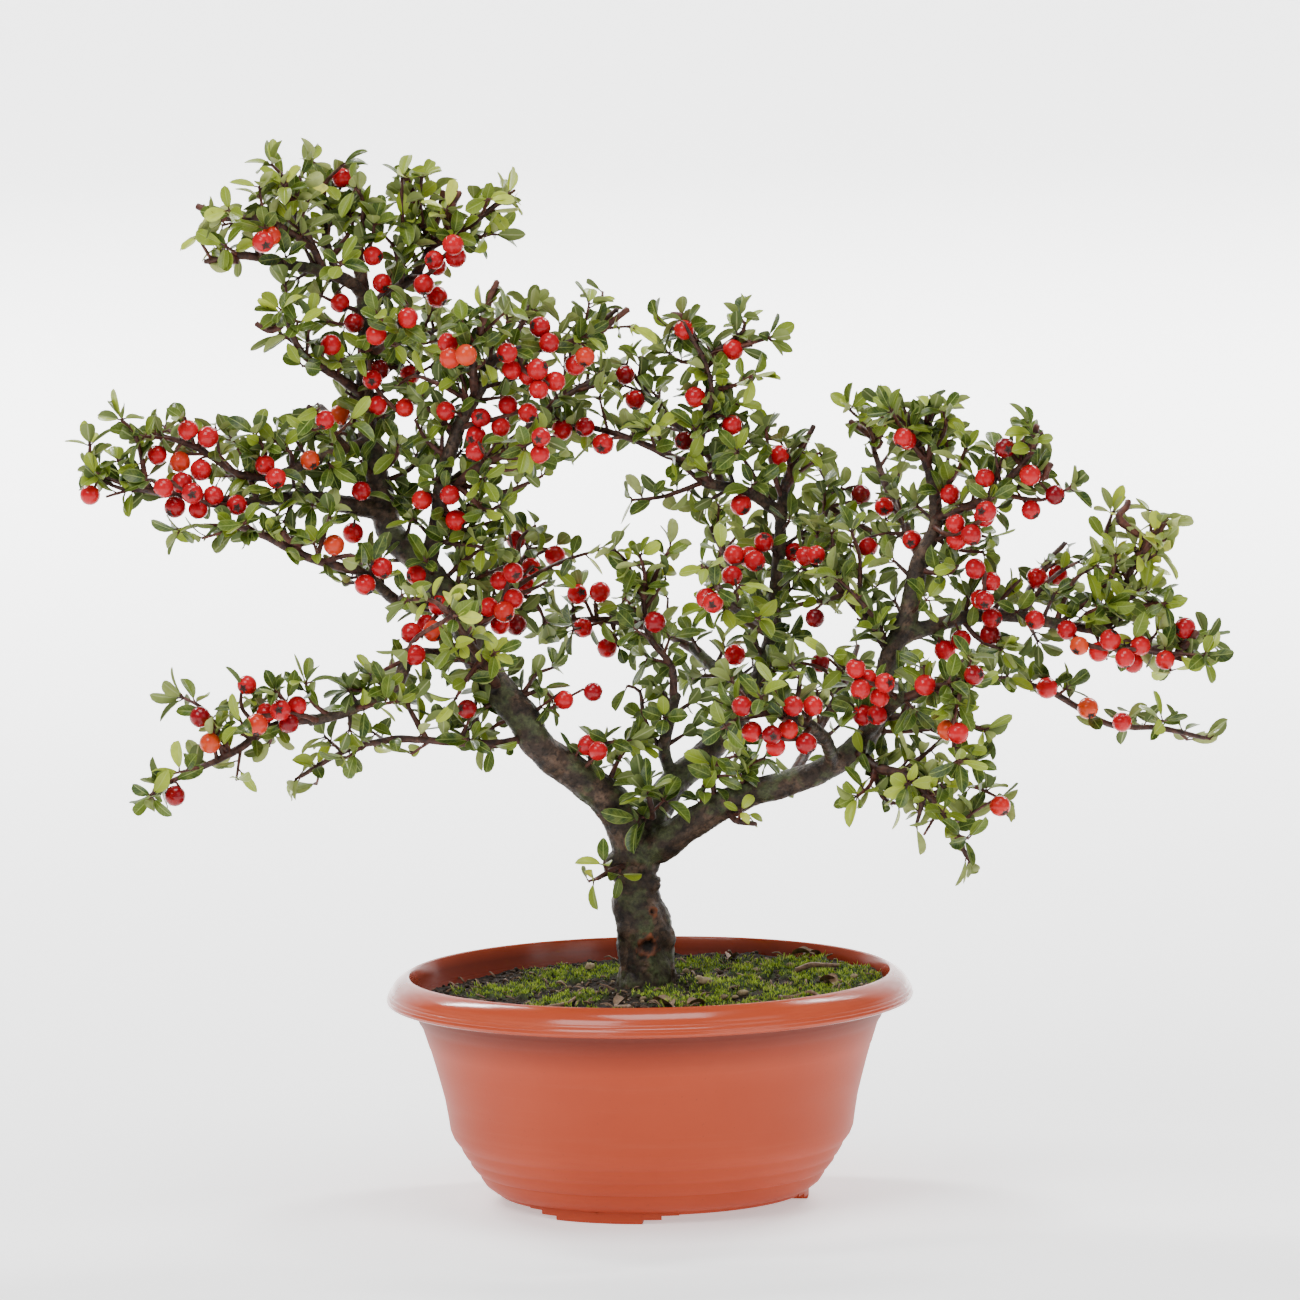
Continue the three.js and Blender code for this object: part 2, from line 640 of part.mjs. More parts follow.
// A shoot with a whorl of leaves: a stick with one side per leaf, whose top edges run on into the blades
function whorlSolid({ root, top, aim, leaves }, grow = 0) {
  const upper = [];
  const lower = [];
  const feet = [];
  const count = leaves.length;
  for (const leaf of leaves) {
    const { across, along, down } = leafDirections(aim, leaf);
    const corner = sideways(aim, leaf.turn - Math.PI / count);
    const notch = top.clone().addScaledVector(corner, SHOOT_RADIUS + grow).addScaledVector(aim, grow);
    upper.push(notch);
    lower.push(notch.clone().addScaledVector(aim, -LEAF_THICKNESS - 2 * grow));
    feet.push(root.clone().addScaledVector(corner, SHOOT_ROOT_RADIUS + grow));
    for (const [forward, sidewards] of BLADE_OUTLINE) {
      const point = top.clone().addScaledVector(along, forward * (leaf.length + grow));
      point.addScaledVector(across, sidewards * (leaf.width / 2 + grow)).addScaledVector(down, -grow);
      upper.push(point);
      lower.push(point.clone().addScaledVector(down, LEAF_THICKNESS + 2 * grow));
    }
  }
  const size = BLADE_OUTLINE.length + 1;
  const topFace = leaves.map((leaf, i) => i * size);
  const footFace = leaves.map((leaf, i) => 2 * count * size + count - 1 - i);
  const faces = [...topFace, ...footFace, ...leaves.flatMap((leaf, i) => bladeFaces(i, count))];
  return closedSolid([...upper, ...lower, ...feet], faces);
}

// The side shoots of a stem, one after another round it, and a last one that is the stem's own tip
function shootsOf(stem, stemKey, shoots, reach) {
  const lines = [];
  const firstTurn = TURN * draw(stemKey, STEM_TURN_DRAW);
  for (let j = 0; j < shoots; j += 1) {
    const { from, to, share } = stretchAt(stem, SHOOT_START + SHOOT_SPAN * (j + 0.5) / shoots);
    const root = vector(from).lerp(vector(to), share);
    const axis = vector(to).sub(vector(from)).normalize();
    const aim = sideways(axis, j * GOLDEN_ANGLE + firstTurn);
    aim.addScaledVector(axis, SHOOT_FORWARD).addScaledVector(UP, SHOOT_UPWARD).normalize();
    const top = root.clone().addScaledVector(aim, reach * between(REACH_RANGE, stemKey, j));
    lines.push({ key: stemKey * DRAWS_PER_STEM + j, root, top, aim });
  }
  const [before, end] = stem.slice(-2).map(vector);
  const aim = end.clone().sub(before).normalize();
  const root = end.clone().addScaledVector(aim, -TIP_SINK);
  const top = end.clone().addScaledVector(aim, TIP_REACH);
  lines.push({ key: stemKey * DRAWS_PER_STEM + TIP_DRAW, root, top, aim });
  return lines;
}

// The whorl of leaves at a shoot's top, each leaf with its own lift and size
function whorlOf(line, extraTurn = 0) {
  const leaves = [];
  for (let i = 0; i < WHORL_LEAVES; i += 1) {
    leaves.push({
      turn: TURN * (i / WHORL_LEAVES + draw(line.key, WHORL_TURN_DRAW)) + extraTurn,
      lift: between(LIFT_RANGE, line.key, LIFT_DRAW + i),
      length: LEAF_LENGTH * between(LENGTH_RANGE, line.key, LENGTH_DRAW + i),
      width: LEAF_WIDTH * between(WIDTH_RANGE, line.key, WIDTH_DRAW + i),
    });
  }
  return { ...line, leaves };
}

function berriesOf(bunchIndex, { stalk, berries }) {
  const curve = limbCurve(stalk);
  const firstTurn = TURN * draw(bunchIndex, BUNCH_TURN_DRAW);
  const places = [];
  for (let i = 0; i < berries; i += 1) {
    const t = BERRY_START + (1 - BERRY_START) * i / (berries - 1);
    const axis = curve.getTangent(t);
    const aim = sideways(axis, i * GOLDEN_ANGLE + firstTurn);
    aim.addScaledVector(axis, BERRY_FORWARD).normalize();
    places.push(curve.getPoint(t).addScaledVector(aim, BERRY_RADIUS - BERRY_SINK));
  }
  return places;
}

// What already stands in the crown, so that what comes next is kept clear of it
const placed = [];

function place(owner, kind, solid) {
  placed.push({ owner, kind, solid, box: solid.boundingBox() });
}

function apart(first, second) {
  return [0, 1, 2].some((axis) => first.max[axis] < second.min[axis] || second.max[axis] < first.min[axis]);
}

function isClear(candidate, owner) {
  const box = candidate.boundingBox();
  return placed.every((item) => {
    const ownStem = item.owner === owner && item.kind === 'stem';
    return ownStem || apart(box, item.box) || candidate.intersect(item.solid).isEmpty();
  });
}

// The nodes

function buildWood() {
  const pieces = Object.values(LIMBS).map(limbPieces);
  for (const { solid } of pieces) {
    place('wood', 'stem', solid);
  }
  return {
    solid: Manifold.union(pieces.map(({ solid }) => solid)),
    grown: Manifold.union(pieces.map(({ grown }) => grown)),
  };
}

function hasLeaves(order, shoots) {
  return order === shoots || order % SHOOT_STRIDE === FIRST_SHOOT;
}

function buildSpray(name, index, { stems, shoots, reach }, grownWood) {
  const pieces = stems.map((stem) => limbSolid(stem, STEM_SIDES));
  stems.forEach((stem, stemIndex) => {
    const lines = shootsOf(stem, index * 2 + stemIndex, shoots, reach);
    for (const line of lines.filter((each, order) => hasLeaves(order, shoots))) {
      const turn = WHORL_TURNS.find((extra) => isClear(whorlSolid(whorlOf(line, extra), CLEARANCE), name));
      if (turn === undefined) continue;
      const whorl = whorlSolid(whorlOf(line, turn));
      pieces.push(whorl);
      place(name, 'leaves', whorl);
    }
  });
  return largestBody(Manifold.union(pieces).subtract(grownWood));
}

function buildBunch(index, bunch, grownStems) {
  const stalk = bunch.stalk.map((point, i) => [...point, STALK_RADII[i]]);
  const pieces = [limbSolid(stalk, STALK_SIDES)];
  for (const centre of berriesOf(index, bunch)) {
    const berry = new THREE.IcosahedronGeometry(BERRY_RADIUS, 0);
    pieces.push(solidOf(berry.translate(centre.x, centre.y, centre.z)));
  }
  return largestBody(Manifold.union(pieces).subtract(grownStems));
}

function surface(color, roughness) {
  return new THREE.MeshStandardMaterial({ color, roughness, metalness: 0, flatShading: true });
}

const POT_MATERIAL = surface(0xc05f42, 0.45);
const SOIL_MATERIAL = surface(0x2c2118, 0.95);
const BARK_MATERIAL = surface(0x3a2a22, 0.85);
const LEAF_MATERIAL = surface(0x64803a, 0.5);
const BERRY_MATERIAL = surface(0xc8202a, 0.35);

function buildBonsai() {
  const bonsai = new THREE.Group();
  const wood = buildWood();
  const grown = [wood.grown];
  for (const [name, { stems }] of Object.entries(SPRAYS)) {
    stems.forEach((stem) => place(name, 'stem', limbSolid(stem, STEM_SIDES)));
    grown.push(...stems.map((stem) => limbSolid(stem, STEM_SIDES, SEAT_GAP)));
  }
  const grownStems = Manifold.union(grown);
  bonsai.add(named('pot', potSolid(), POT_MATERIAL));
  bonsai.add(named('soil', solidOf(soilGeometry()).subtract(wood.grown), SOIL_MATERIAL));
  bonsai.add(named('wood', wood.solid, BARK_MATERIAL));
  Object.entries(BUNCHES).forEach(([name, bunch], index) => {
    const solid = buildBunch(index, bunch, grownStems);
    place(`berries_${name}`, 'berries', solid);
    bonsai.add(named(`berries_${name}`, solid, BERRY_MATERIAL));
  });
  Object.entries(SPRAYS).forEach(([name, spray], index) => {
    bonsai.add(named(`spray_${name}`, buildSpray(name, index, spray, wood.grown), LEAF_MATERIAL));
  });
  bonsai.position.x = -MIDDLE_X;
  return bonsai;
}

export default buildBonsai();
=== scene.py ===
import math

import bpy
import numpy as np
from mathutils import Matrix, Vector, noise
from mathutils.kdtree import KDTree


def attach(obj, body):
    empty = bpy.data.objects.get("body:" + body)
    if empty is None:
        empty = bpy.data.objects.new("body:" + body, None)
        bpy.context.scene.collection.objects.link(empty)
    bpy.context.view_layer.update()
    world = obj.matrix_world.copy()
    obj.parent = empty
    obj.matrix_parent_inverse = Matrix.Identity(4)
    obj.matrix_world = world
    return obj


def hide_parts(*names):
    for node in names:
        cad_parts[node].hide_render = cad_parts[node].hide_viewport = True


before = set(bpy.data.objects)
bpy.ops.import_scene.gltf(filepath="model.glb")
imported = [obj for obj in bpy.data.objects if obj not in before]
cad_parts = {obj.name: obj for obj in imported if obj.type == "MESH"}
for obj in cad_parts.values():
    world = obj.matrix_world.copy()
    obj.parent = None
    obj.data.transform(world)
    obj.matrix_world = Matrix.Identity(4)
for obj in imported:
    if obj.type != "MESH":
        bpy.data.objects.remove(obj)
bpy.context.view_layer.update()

# Cotoneaster bonsai in a round terracotta-coloured pot, seen from the front.
# Sizes and places are millimetres from the pot's axis, as in the solid model; metres come at the end.
MM = 0.001
MIDDLE_X = 4
TURN = 2 * math.pi
GOLDEN_ANGLE = math.radians(137.5)
UP = Vector((0, 0, 1))

# Driving dimensions
POT_RADIUS = 100
POT_SEGMENTS = 256
SOIL_LEVEL = 79.3
SOIL_RISE = 3.4
SOIL_SPREAD = 32
SOIL_TILT = 3.5
LEAF_LENGTH = 11.5
LEAF_WIDTH = 6
LEAF_THICKNESS = 0.5
BERRY_RADIUS = 4.1
STALK_RADII = (1.2, 1, 0.8)
BARK_VOXEL = 0.8

# The camera of the photograph: its place in millimetres, how it leans and rolls, its focal length in pixels
CAMERA_PLACE = (2.2, -3600, 624)
CAMERA_PITCH = math.radians(6.57)
CAMERA_ROLL = math.radians(0.94)
FOCAL_PIXELS = 9600
PHOTO_SIZE = 1300
SENSOR = 36

# The seeded rule of the solid model: its seed, and which draws each choice uses. Choices that only this
# script makes take draws of their own, numbered where they are made.
SEED = 4.71
DRAWS_PER_STEM = 20
TIP_DRAW = 19
STEM_TURN_DRAW = 99
WHORL_TURN_DRAW = 40
LIFT_DRAW = 50
LENGTH_DRAW = 60
WIDTH_DRAW = 70
BUNCH_TURN_DRAW = 500

# Side shoots: the part of a stem that carries them and how they lean
SHOOT_START = 0.22
SHOOT_SPAN = 0.74
SHOOT_FORWARD = 0.7
SHOOT_UPWARD = 0.45
REACH_RANGE = (0.65, 1.15)
TIP_SINK = 1.5
TIP_REACH = 2
WHORL_LEAVES = 3
LIFT_RANGE = (0.2, 0.95)
LENGTH_RANGE = (0.82, 1.14)
WIDTH_RANGE = (0.85, 1.15)
BERRY_START = 0.4
BERRY_FORWARD = 0.3
BERRY_SINK = 0.3

# Pot: radius and height of its outside from the foot ring to the lip, then of its inside
POT_PROFILE = [
    (0, 5.2), (54, 5.2), (55, 4.6), (55.2, 3.4), (56, 3.2), (58.2, 3.2), (58.8, 3.6), (59.2, 4.4),
    (61, 5.2), (63.6, 7.2), (65.2, 9.6), (65.7, 11.0), (66.0, 11.7), (66.9, 12.2), (69.0, 14.8),
    (69.4, 16.3), (69.7, 17.0), (70.6, 17.6), (72.2, 20.2), (72.7, 21.7), (73.0, 22.3), (73.8, 23.0),
    (75.4, 25.2), (76.5, 28), (77.2, 33), (78.4, 40), (80.2, 47), (81.8, 53), (83.7, 59.6), (84.0, 60.0),
    (86.2, 67), (87.2, 69.0), (87.6, 69.4), (88.6, 71.5), (89.3, 72.6), (89.8, 73.4), (91, 78.5),
    (93.5, 82.6), (95.6, 81.4), (97.2, 77.6), (97.8, 76.7), (98.8, 76.5), (99.5, 76.9), (99.8, 77.8),
    (99.5, 78.7), (99.6, 79.0), (99.3, 79.7), (98.9, 80.1), (98.9, 80.5), (98.5, 81.1), (98.1, 81.5),
    (98.0, 81.9), (97.4, 83.0), (96.4, 84.2), (95.1, 85.3), (93.6, 86.2), (92.6, 86.7), (91.8, 86.9),
    (91.2, 86.6), (90.8, 85.6), (90.2, 82), (88.4, 76), (86.8, 72), (82.6, 62), (78.3, 47), (75, 31.5),
    (63.6, 10.6), (58, 8), (0, 8),
]
POT_INSIDE = [(90.8, 85.6), (86.8, 72), (82.6, 62), (78.3, 47)]
LIP_RING = POT_PROFILE.index((95.6, 81.4))
INNER_RING = POT_PROFILE.index((90.2, 82))
FOOT_MIDDLES = (-21, 99, 219)
FOOT_STEPS = ((0, 17), (1.5, 24), (3, 30.5))
FOOT_INNER = 52
FOOT_OUTER = 59.2
FOOT_TOP = 7

# The routes of limbs, sprays and bunches are copied from the source of the solid model.
# Wood: points along each limb and the radius there, from its root outwards
LIMBS = {
    "trunk": [
        (-1, 0, 62, 11.2), (-1, 0, 82, 11.6), (-1, 0, 91, 10.6), (-2, 0, 105, 10.8),
        (-4, 0, 113, 9.6), (-5, 0, 122, 8.4), (-4, 0, 130, 9.2), (-4, 0, 138, 8.6),
    ],
    "left": [
        (-4, 0, 132, 8), (-12, -3, 150, 7.4), (-21, -6, 159, 6.8), (-31, -8, 167, 6.5),
        (-40, -10, 175, 6.5), (-47, -10, 187, 6.4), (-55, -8, 196, 6.3), (-62, -4, 207, 6.3),
        (-68, 0, 222, 6.2), (-79, 4, 237, 5.6), (-87, 6, 246, 5.3), (-95, 8, 255, 5.4),
        (-98, 10, 267, 5.2), (-102, 12, 289, 4.4), (-104, 14, 305, 3.8), (-103, 16, 331, 3.2),
        (-105, 18, 355, 2.7),
    ],
    "crown_left": [
        (-103, 17, 342, 2.6), (-108, 13, 349, 2.5), (-121, 5, 355, 2.3), (-136, -3, 358, 2),
    ],
    "crown_right": [
        (-104, 16, 334, 2.4), (-99, 18, 341, 2.3), (-93, 20, 345, 2.2), (-82, 24, 352, 2),
    ],
    "centre_top": [
        (-82, 5, 240, 3.4), (-77, 2, 260, 3.2), (-75, -2, 275, 3), (-68, -6, 296, 2.7),
        (-60, -8, 310, 2.5), (-56, -8, 320, 2.2), (-42, -4, 325, 1.9),
    ],
    "far_left_upper": [
        (-102, 12, 289, 2.4), (-112, 4, 287, 2.2), (-121, -2, 284, 2), (-131, -8, 281, 1.8),
        (-141, -12, 277, 1.7),
    ],
    "far_left": [
        (-97, 10, 262, 3.8), (-110, 2, 266, 3.6), (-128, -8, 270, 3), (-136, -12, 270, 2.3),
        (-150, -15, 269, 2),
    ],
    "left_middle": [
        (-74, 2, 230, 2.6), (-91, -8, 230, 2.3), (-100, -16, 238, 2.2), (-109, -20, 245, 2),
    ],
    "lower_left": [
        (-64, -3, 209, 3.2), (-77, -12, 210, 2.9), (-88, -20, 210, 2.8), (-94, -26, 200, 2.6),
        (-112, -34, 192, 2.4), (-126, -38, 189, 2.1),
    ],
    "middle": [
        (-3, 1, 136, 7), (4, 6, 148, 6.2), (10, 9, 157, 5.7), (17, 12, 163, 5.4), (26, 16, 171, 5),
        (34, 20, 179, 4.6), (42, 23, 191, 4), (46, 25, 202, 3.6), (49, 26, 212, 3.2),
        (50, 27, 226, 2.7), (52, 28, 244, 2.5), (53, 29, 259, 2.4), (55, 30, 270, 2),
    ],
    "middle_left": [(53, 29, 257, 2.4), (41, 22, 266, 2.2), (32, 18, 269, 2.1), (23, 16, 271, 1.9)],
    "centre_stem": [(11, 10, 157, 2.8), (7, 4, 170, 2.5), (9, 0, 182, 2.2), (12, -4, 193, 1.9)],
    "centre_back": [(41, 22, 189, 2.8), (29, 44, 195, 2.5), (18, 60, 204, 2.1)],
    "right": [
        (-2, 0, 132, 7.6), (7, -4, 137, 6.6), (23, -10, 148, 5.8), (38, -15, 156, 5.4),
        (53, -18, 160, 5), (68, -20, 166, 4.8), (81, -20, 175, 4.8), (87, -19, 186, 4.3),
        (92, -17, 206, 4), (99, -15, 222, 4), (102, -13, 233, 3.8), (104, -12, 243, 3.4),
        (110, -11, 255, 2.9), (110, -10, 267, 2.4), (108, -8, 277, 2),
    ],
    "far_right": [
        (97, -16, 215, 3.2), (108, -14, 218, 3), (119, -13, 221, 2.8), (130, -12, 222, 2.8),
        (142, -12, 221, 2.6), (158, -14, 218, 2.2),
    ],
    "right_front": [(82, -20, 178, 3.4), (89, -34, 188, 2.8), (97, -46, 196, 2.2)],
    "front_low": [(71, -21, 167, 2.8), (67, -36, 179, 2.6), (60, -48, 187, 2.2)],
}

# Leafy sprays: how many side shoots each stem has, their length, and the points and radius along each stem
SPRAYS = {
    "crown_left_tip": (6, 12, [
        [(-133, -2, 358, 1.9), (-149, -10, 362, 1.6), (-162, -14, 360, 1)],
    ]),
    "crown_left_rise": (5, 12, [
        [(-118, 7, 354, 1.7), (-125, 2, 370, 1.5), (-133, -2, 384, 1)],
        [(-122, 4, 363, 1.5), (-132, -6, 371, 1.4), (-142, -13, 376, 1.2), (-154, -18, 376, 0.9)],
    ]),
    "crown_back": (6, 13, [
        [(-113, 10, 352, 1.8), (-118, 22, 368, 1.5), (-114, 30, 386, 1)],
    ]),
    "crown_right": (5, 12, [
        [(-84, 23, 351, 1.9), (-78, 26, 364, 1.6), (-85, 28, 378, 1.2)],
        [(-79, 25, 361, 1.5), (-66, 18, 368, 1.4), (-50, 12, 380, 1)],
    ]),
    "upper_left": (8, 14, [
        [(-103, 14, 305, 2), (-113, 4, 314, 1.8), (-126, -8, 324, 1.5), (-133, -16, 340, 1)],
    ]),
    "upper_front": (6, 13, [
        [(-103, 15, 322, 2), (-97, -2, 326, 1.7), (-90, -16, 334, 1.1)],
    ]),
    "upper_back": (7, 14, [
        [(-103, 15, 314, 2), (-95, 34, 320, 1.7), (-84, 52, 324, 1.4), (-76, 62, 328, 1)],
    ]),
    "top_centre": (7, 13, [
        [(-44, -5, 325, 1.8), (-29, 0, 325, 1.6), (-19, 4, 330, 1.3), (-8, 6, 338, 0.9)],
    ]),
    "top_spur": (6, 12, [
        [(-62, -8, 307, 1.9), (-62, -17, 320, 1.6), (-58, -21, 340, 1)],
    ]),
    "top_right": (10, 15, [
        [
            (-76, -1, 271, 2.2), (-62, 8, 280, 2), (-46, 18, 290, 1.7), (-30, 28, 302, 1.4),
            (-16, 36, 310, 1),
        ],
    ]),
    "top_back": (7, 14, [
        [(-58, -8, 314, 1.9), (-50, 14, 322, 1.6), (-42, 34, 336, 1)],
    ]),
    "centre_front": (7, 13, [
        [(-76, -1, 268, 1.9), (-63, -16, 280, 1.7), (-51, -28, 287, 1.4), (-38, -36, 294, 1)],
    ]),
    "far_left_up": (7, 13, [
        [(-138, -11, 278, 1.6), (-151, -14, 280, 1.5), (-166, -14, 290, 1.3), (-180, -14, 295, 1)],
    ]),
    "far_left_tip": (8, 13, [
        [(-147, -14, 269, 1.9), (-165, -17, 272, 1.7), (-185, -18, 275, 1.5), (-203, -18, 281, 1)],
    ]),
    "left_back_up": (7, 14, [
        [(-102, 12, 286, 2), (-112, 30, 292, 1.6), (-122, 44, 300, 1)],
    ]),
    "left_front_up": (7, 13, [
        [(-111, 4, 287, 1.8), (-118, -14, 298, 1.5), (-124, -24, 306, 1)],
    ]),
    "left_middle_tip": (8, 13, [
        [(-106, -19, 243, 1.9), (-125, -24, 249, 1.7), (-142, -26, 258, 1.4), (-153, -26, 262, 1)],
    ]),
    "lower_left_tip": (9, 14, [
        [(-123, -37, 190, 1.9), (-138, -40, 188, 1.8), (-155, -42, 178, 1.5), (-177, -42, 168, 1)],
    ]),
    "lower_left_thin": (8, 11, [
        [
            (-44, -10, 178, 1.7), (-58, -19, 177, 1.6), (-76, -24, 179, 1.5), (-94, -24, 180, 1.4),
            (-112, -22, 176, 1.2), (-130, -20, 166, 0.9),
        ],
    ]),
    "left_back": (7, 14, [
        [(-66, -2, 215, 2.4), (-57, 20, 223, 2), (-51, 40, 229, 1.7), (-44, 58, 242, 1)],
    ]),
    "left_front": (7, 14, [
        [(-55, -8, 196, 2.2), (-59, -26, 207, 1.9), (-66, -40, 219, 1.6), (-72, -52, 231, 1)],
    ]),
    "middle_top": (8, 14, [
        [(54, 29, 266, 2), (58, 32, 276, 1.6), (66, 36, 290, 1)],
    ]),
    "middle_high": (8, 13, [
        [
            (25, 16, 270, 1.8), (22, 17, 282, 1.6), (26, 20, 302, 1.4), (24, 22, 320, 1.2),
            (17, 22, 333, 0.9),
        ],
        [
            (23, 17, 277, 1.5), (12, 13, 281, 1.5), (-3, 14, 288, 1.3), (-20, 24, 292, 1.1),
            (-30, 32, 290, 0.9),
        ],
    ]),
    "arch_rise": (7, 13, [
        [(31, 18, 269, 1.6), (24, 32, 282, 1.5), (8, 42, 296, 1.3), (-4, 46, 312, 0.9)],
    ]),
    "middle_back": (9, 15, [
        [(50, 27, 218, 2.4), (42, 48, 226, 2.1), (33, 66, 236, 1.6), (27, 80, 246, 1)],
    ]),
    "middle_front": (9, 14, [
        [
            (49, 26, 212, 2.4), (42, 8, 217, 2.1), (34, -10, 226, 1.8), (28, -26, 236, 1.4),
            (24, -38, 244, 1),
        ],
    ]),
    "middle_right": (7, 14, [
        [(51, 28, 235, 2.2), (61, 42, 243, 1.8), (69, 54, 253, 1.5), (76, 64, 262, 1)],
    ]),
    "centre_stem": (8, 13, [
        [(11, -3, 191, 1.8), (10, -6, 204, 1.5), (2, -12, 216, 1.3), (0, -14, 230, 0.9)],
    ]),
    "centre_back": (7, 14, [
        [(20, 58, 202, 2.1), (6, 68, 209, 1.8), (-12, 78, 212, 1.5), (-30, 84, 212, 1)],
    ]),
    "right_top": (8, 14, [
        [(109, -8, 274, 2), (105, -6, 286, 1.6), (100, -4, 298, 1)],
    ]),
    "right_diagonal": (7, 12, [
        [(94, -17, 206, 2.2), (86, -6, 218, 1.9), (74, 6, 231, 1.6), (62, 14, 242, 1)],
    ]),
    "right_upper": (9, 14, [
        [
            (110, -11, 259, 2.2), (120, -18, 263, 2), (130, -25, 268, 1.7), (142, -30, 280, 1.3),
            (150, -32, 292, 0.9),
        ],
    ]),
    "right_back": (9, 14, [
        [(104, -12, 245, 2.2), (100, 12, 253, 1.9), (94, 34, 264, 1.6), (88, 54, 282, 1)],
    ]),
    "far_right_up": (7, 12, [
        [(142, -12, 221, 2), (146, -2, 230, 1.7), (152, 8, 238, 1.4), (160, 14, 246, 0.9)],
    ]),
    "far_right_tip": (8, 12, [
        [(155, -14, 218, 2.1), (168, -15, 216, 1.9), (184, -17, 210, 1.6), (205, -20, 204, 1)],
        [(173, -15, 214, 1.6), (180, -12, 228, 1.5), (186, -13, 244, 1.3), (196, -14, 257, 0.9)],
    ]),
    "long_low": (9, 7, [
        [
            (90, -17, 198, 2), (101, 2, 193, 1.8), (116, 14, 195, 1.6), (132, 22, 194, 1.4),
            (154, 26, 188, 1.3), (176, 28, 175, 1.2), (196, 28, 173, 1.1), (213, 28, 169, 0.9),
        ],
    ]),
    "right_front": (7, 13, [
        [(95, -43, 194, 2.1), (108, -56, 200, 1.7), (120, -64, 201, 1)],
    ]),
    "droop": (9, 10, [
        [
            (79, -20, 173, 2.4), (86, -36, 168, 2.1), (97, -46, 166, 1.7), (106, -51, 158, 1.4),
            (114, -52, 146, 1.2), (119, -52, 136, 0.9),
        ],
    ]),
    "front_low": (7, 14, [
        [(61, -46, 186, 2.1), (50, -57, 191, 1.8), (36, -64, 194, 1)],
    ]),
    "right_behind": (7, 14, [
        [(54, -17, 160, 2.4), (61, 4, 170, 2.1), (70, 26, 182, 1.8), (77, 44, 192, 1.5), (82, 58, 203, 1)],
    ]),
    "trunk_sucker": (3, 6, [
        [(-4, 0, 129, 1.4), (-14, -12, 127, 1.2), (-19, -17, 125, 0.9)],
    ]),
    "front_shoot": (3, 7, [
        [(1, 4, 147, 1.8), (2, -13, 148, 1.5), (1, -19, 156, 1)],
    ]),
    "low_sprig": (3, 6, [
        [(30, -12, 152, 1.5), (33, -21, 147, 1.3), (41, -27, 146, 0.9)],
    ]),
}

# Berry bunches: points along the stalk of each and how many berries it carries
BUNCHES = {
    "far_left": ([(-149, -15, 269), (-162, -26, 270), (-176, -28, 279)], 5),
    "crown_right": ([(-86, 22, 350), (-79, 12, 352), (-72, 8, 360)], 4),
    "upper": ([(-103, 16, 330), (-100, 2, 312), (-92, -2, 302)], 4),
    "top": ([(-44, -5, 324), (-44, -15, 318), (-34, -17, 312)], 5),
    "centre_top": ([(-68, -6, 296), (-58, -12, 298), (-44, -10, 302)], 4),
    "inner": ([(-67, -1, 218), (-55, -8, 226), (-50, -8, 240)], 5),
    "left_low": ([(-73, 1, 229), (-79, -13, 224), (-84, -20, 218)], 4),
    "lower_left": ([(-122, -37, 189), (-130, -48, 193), (-144, -52, 193)], 5),
    "middle": ([(52, 28, 246), (43, 14, 244), (34, 6, 240)], 5),
    "front_low": ([(62, -45, 185), (56, -58, 182), (42, -66, 184)], 5),
    "right_front": ([(95, -42, 194), (88, -52, 200), (78, -56, 204)], 5),
    "right_upper": ([(109, -11, 256), (116, -26, 254), (130, -36, 262)], 5),
    "far_right": ([(131, -12, 222), (128, -24, 228), (128, -26, 240)], 4),
    "far_tip": ([(156, -14, 218), (168, -26, 211), (184, -30, 210)], 5),
}

# Where on each limb short leafy spurs grow, as shares of its length, and how many
SPUR_STRETCHES = {
    "left": (0.3, 0.9, 26),
    "crown_left": (0.15, 0.9, 5),
    "crown_right": (0.2, 0.9, 4),
    "centre_top": (0.1, 0.95, 12),
    "far_left_upper": (0.3, 0.95, 5),
    "far_left": (0.3, 0.95, 6),
    "left_middle": (0.3, 0.95, 5),
    "lower_left": (0.35, 0.95, 4),
    "middle": (0.3, 0.95, 22),
    "middle_left": (0.2, 0.95, 5),
    "centre_stem": (0.2, 0.95, 6),
    "centre_back": (0.3, 0.95, 5),
    "right": (0.42, 0.95, 20),
    "far_right": (0.15, 0.95, 8),
    "right_front": (0.3, 0.95, 4),
    "front_low": (0.3, 0.95, 4),
}

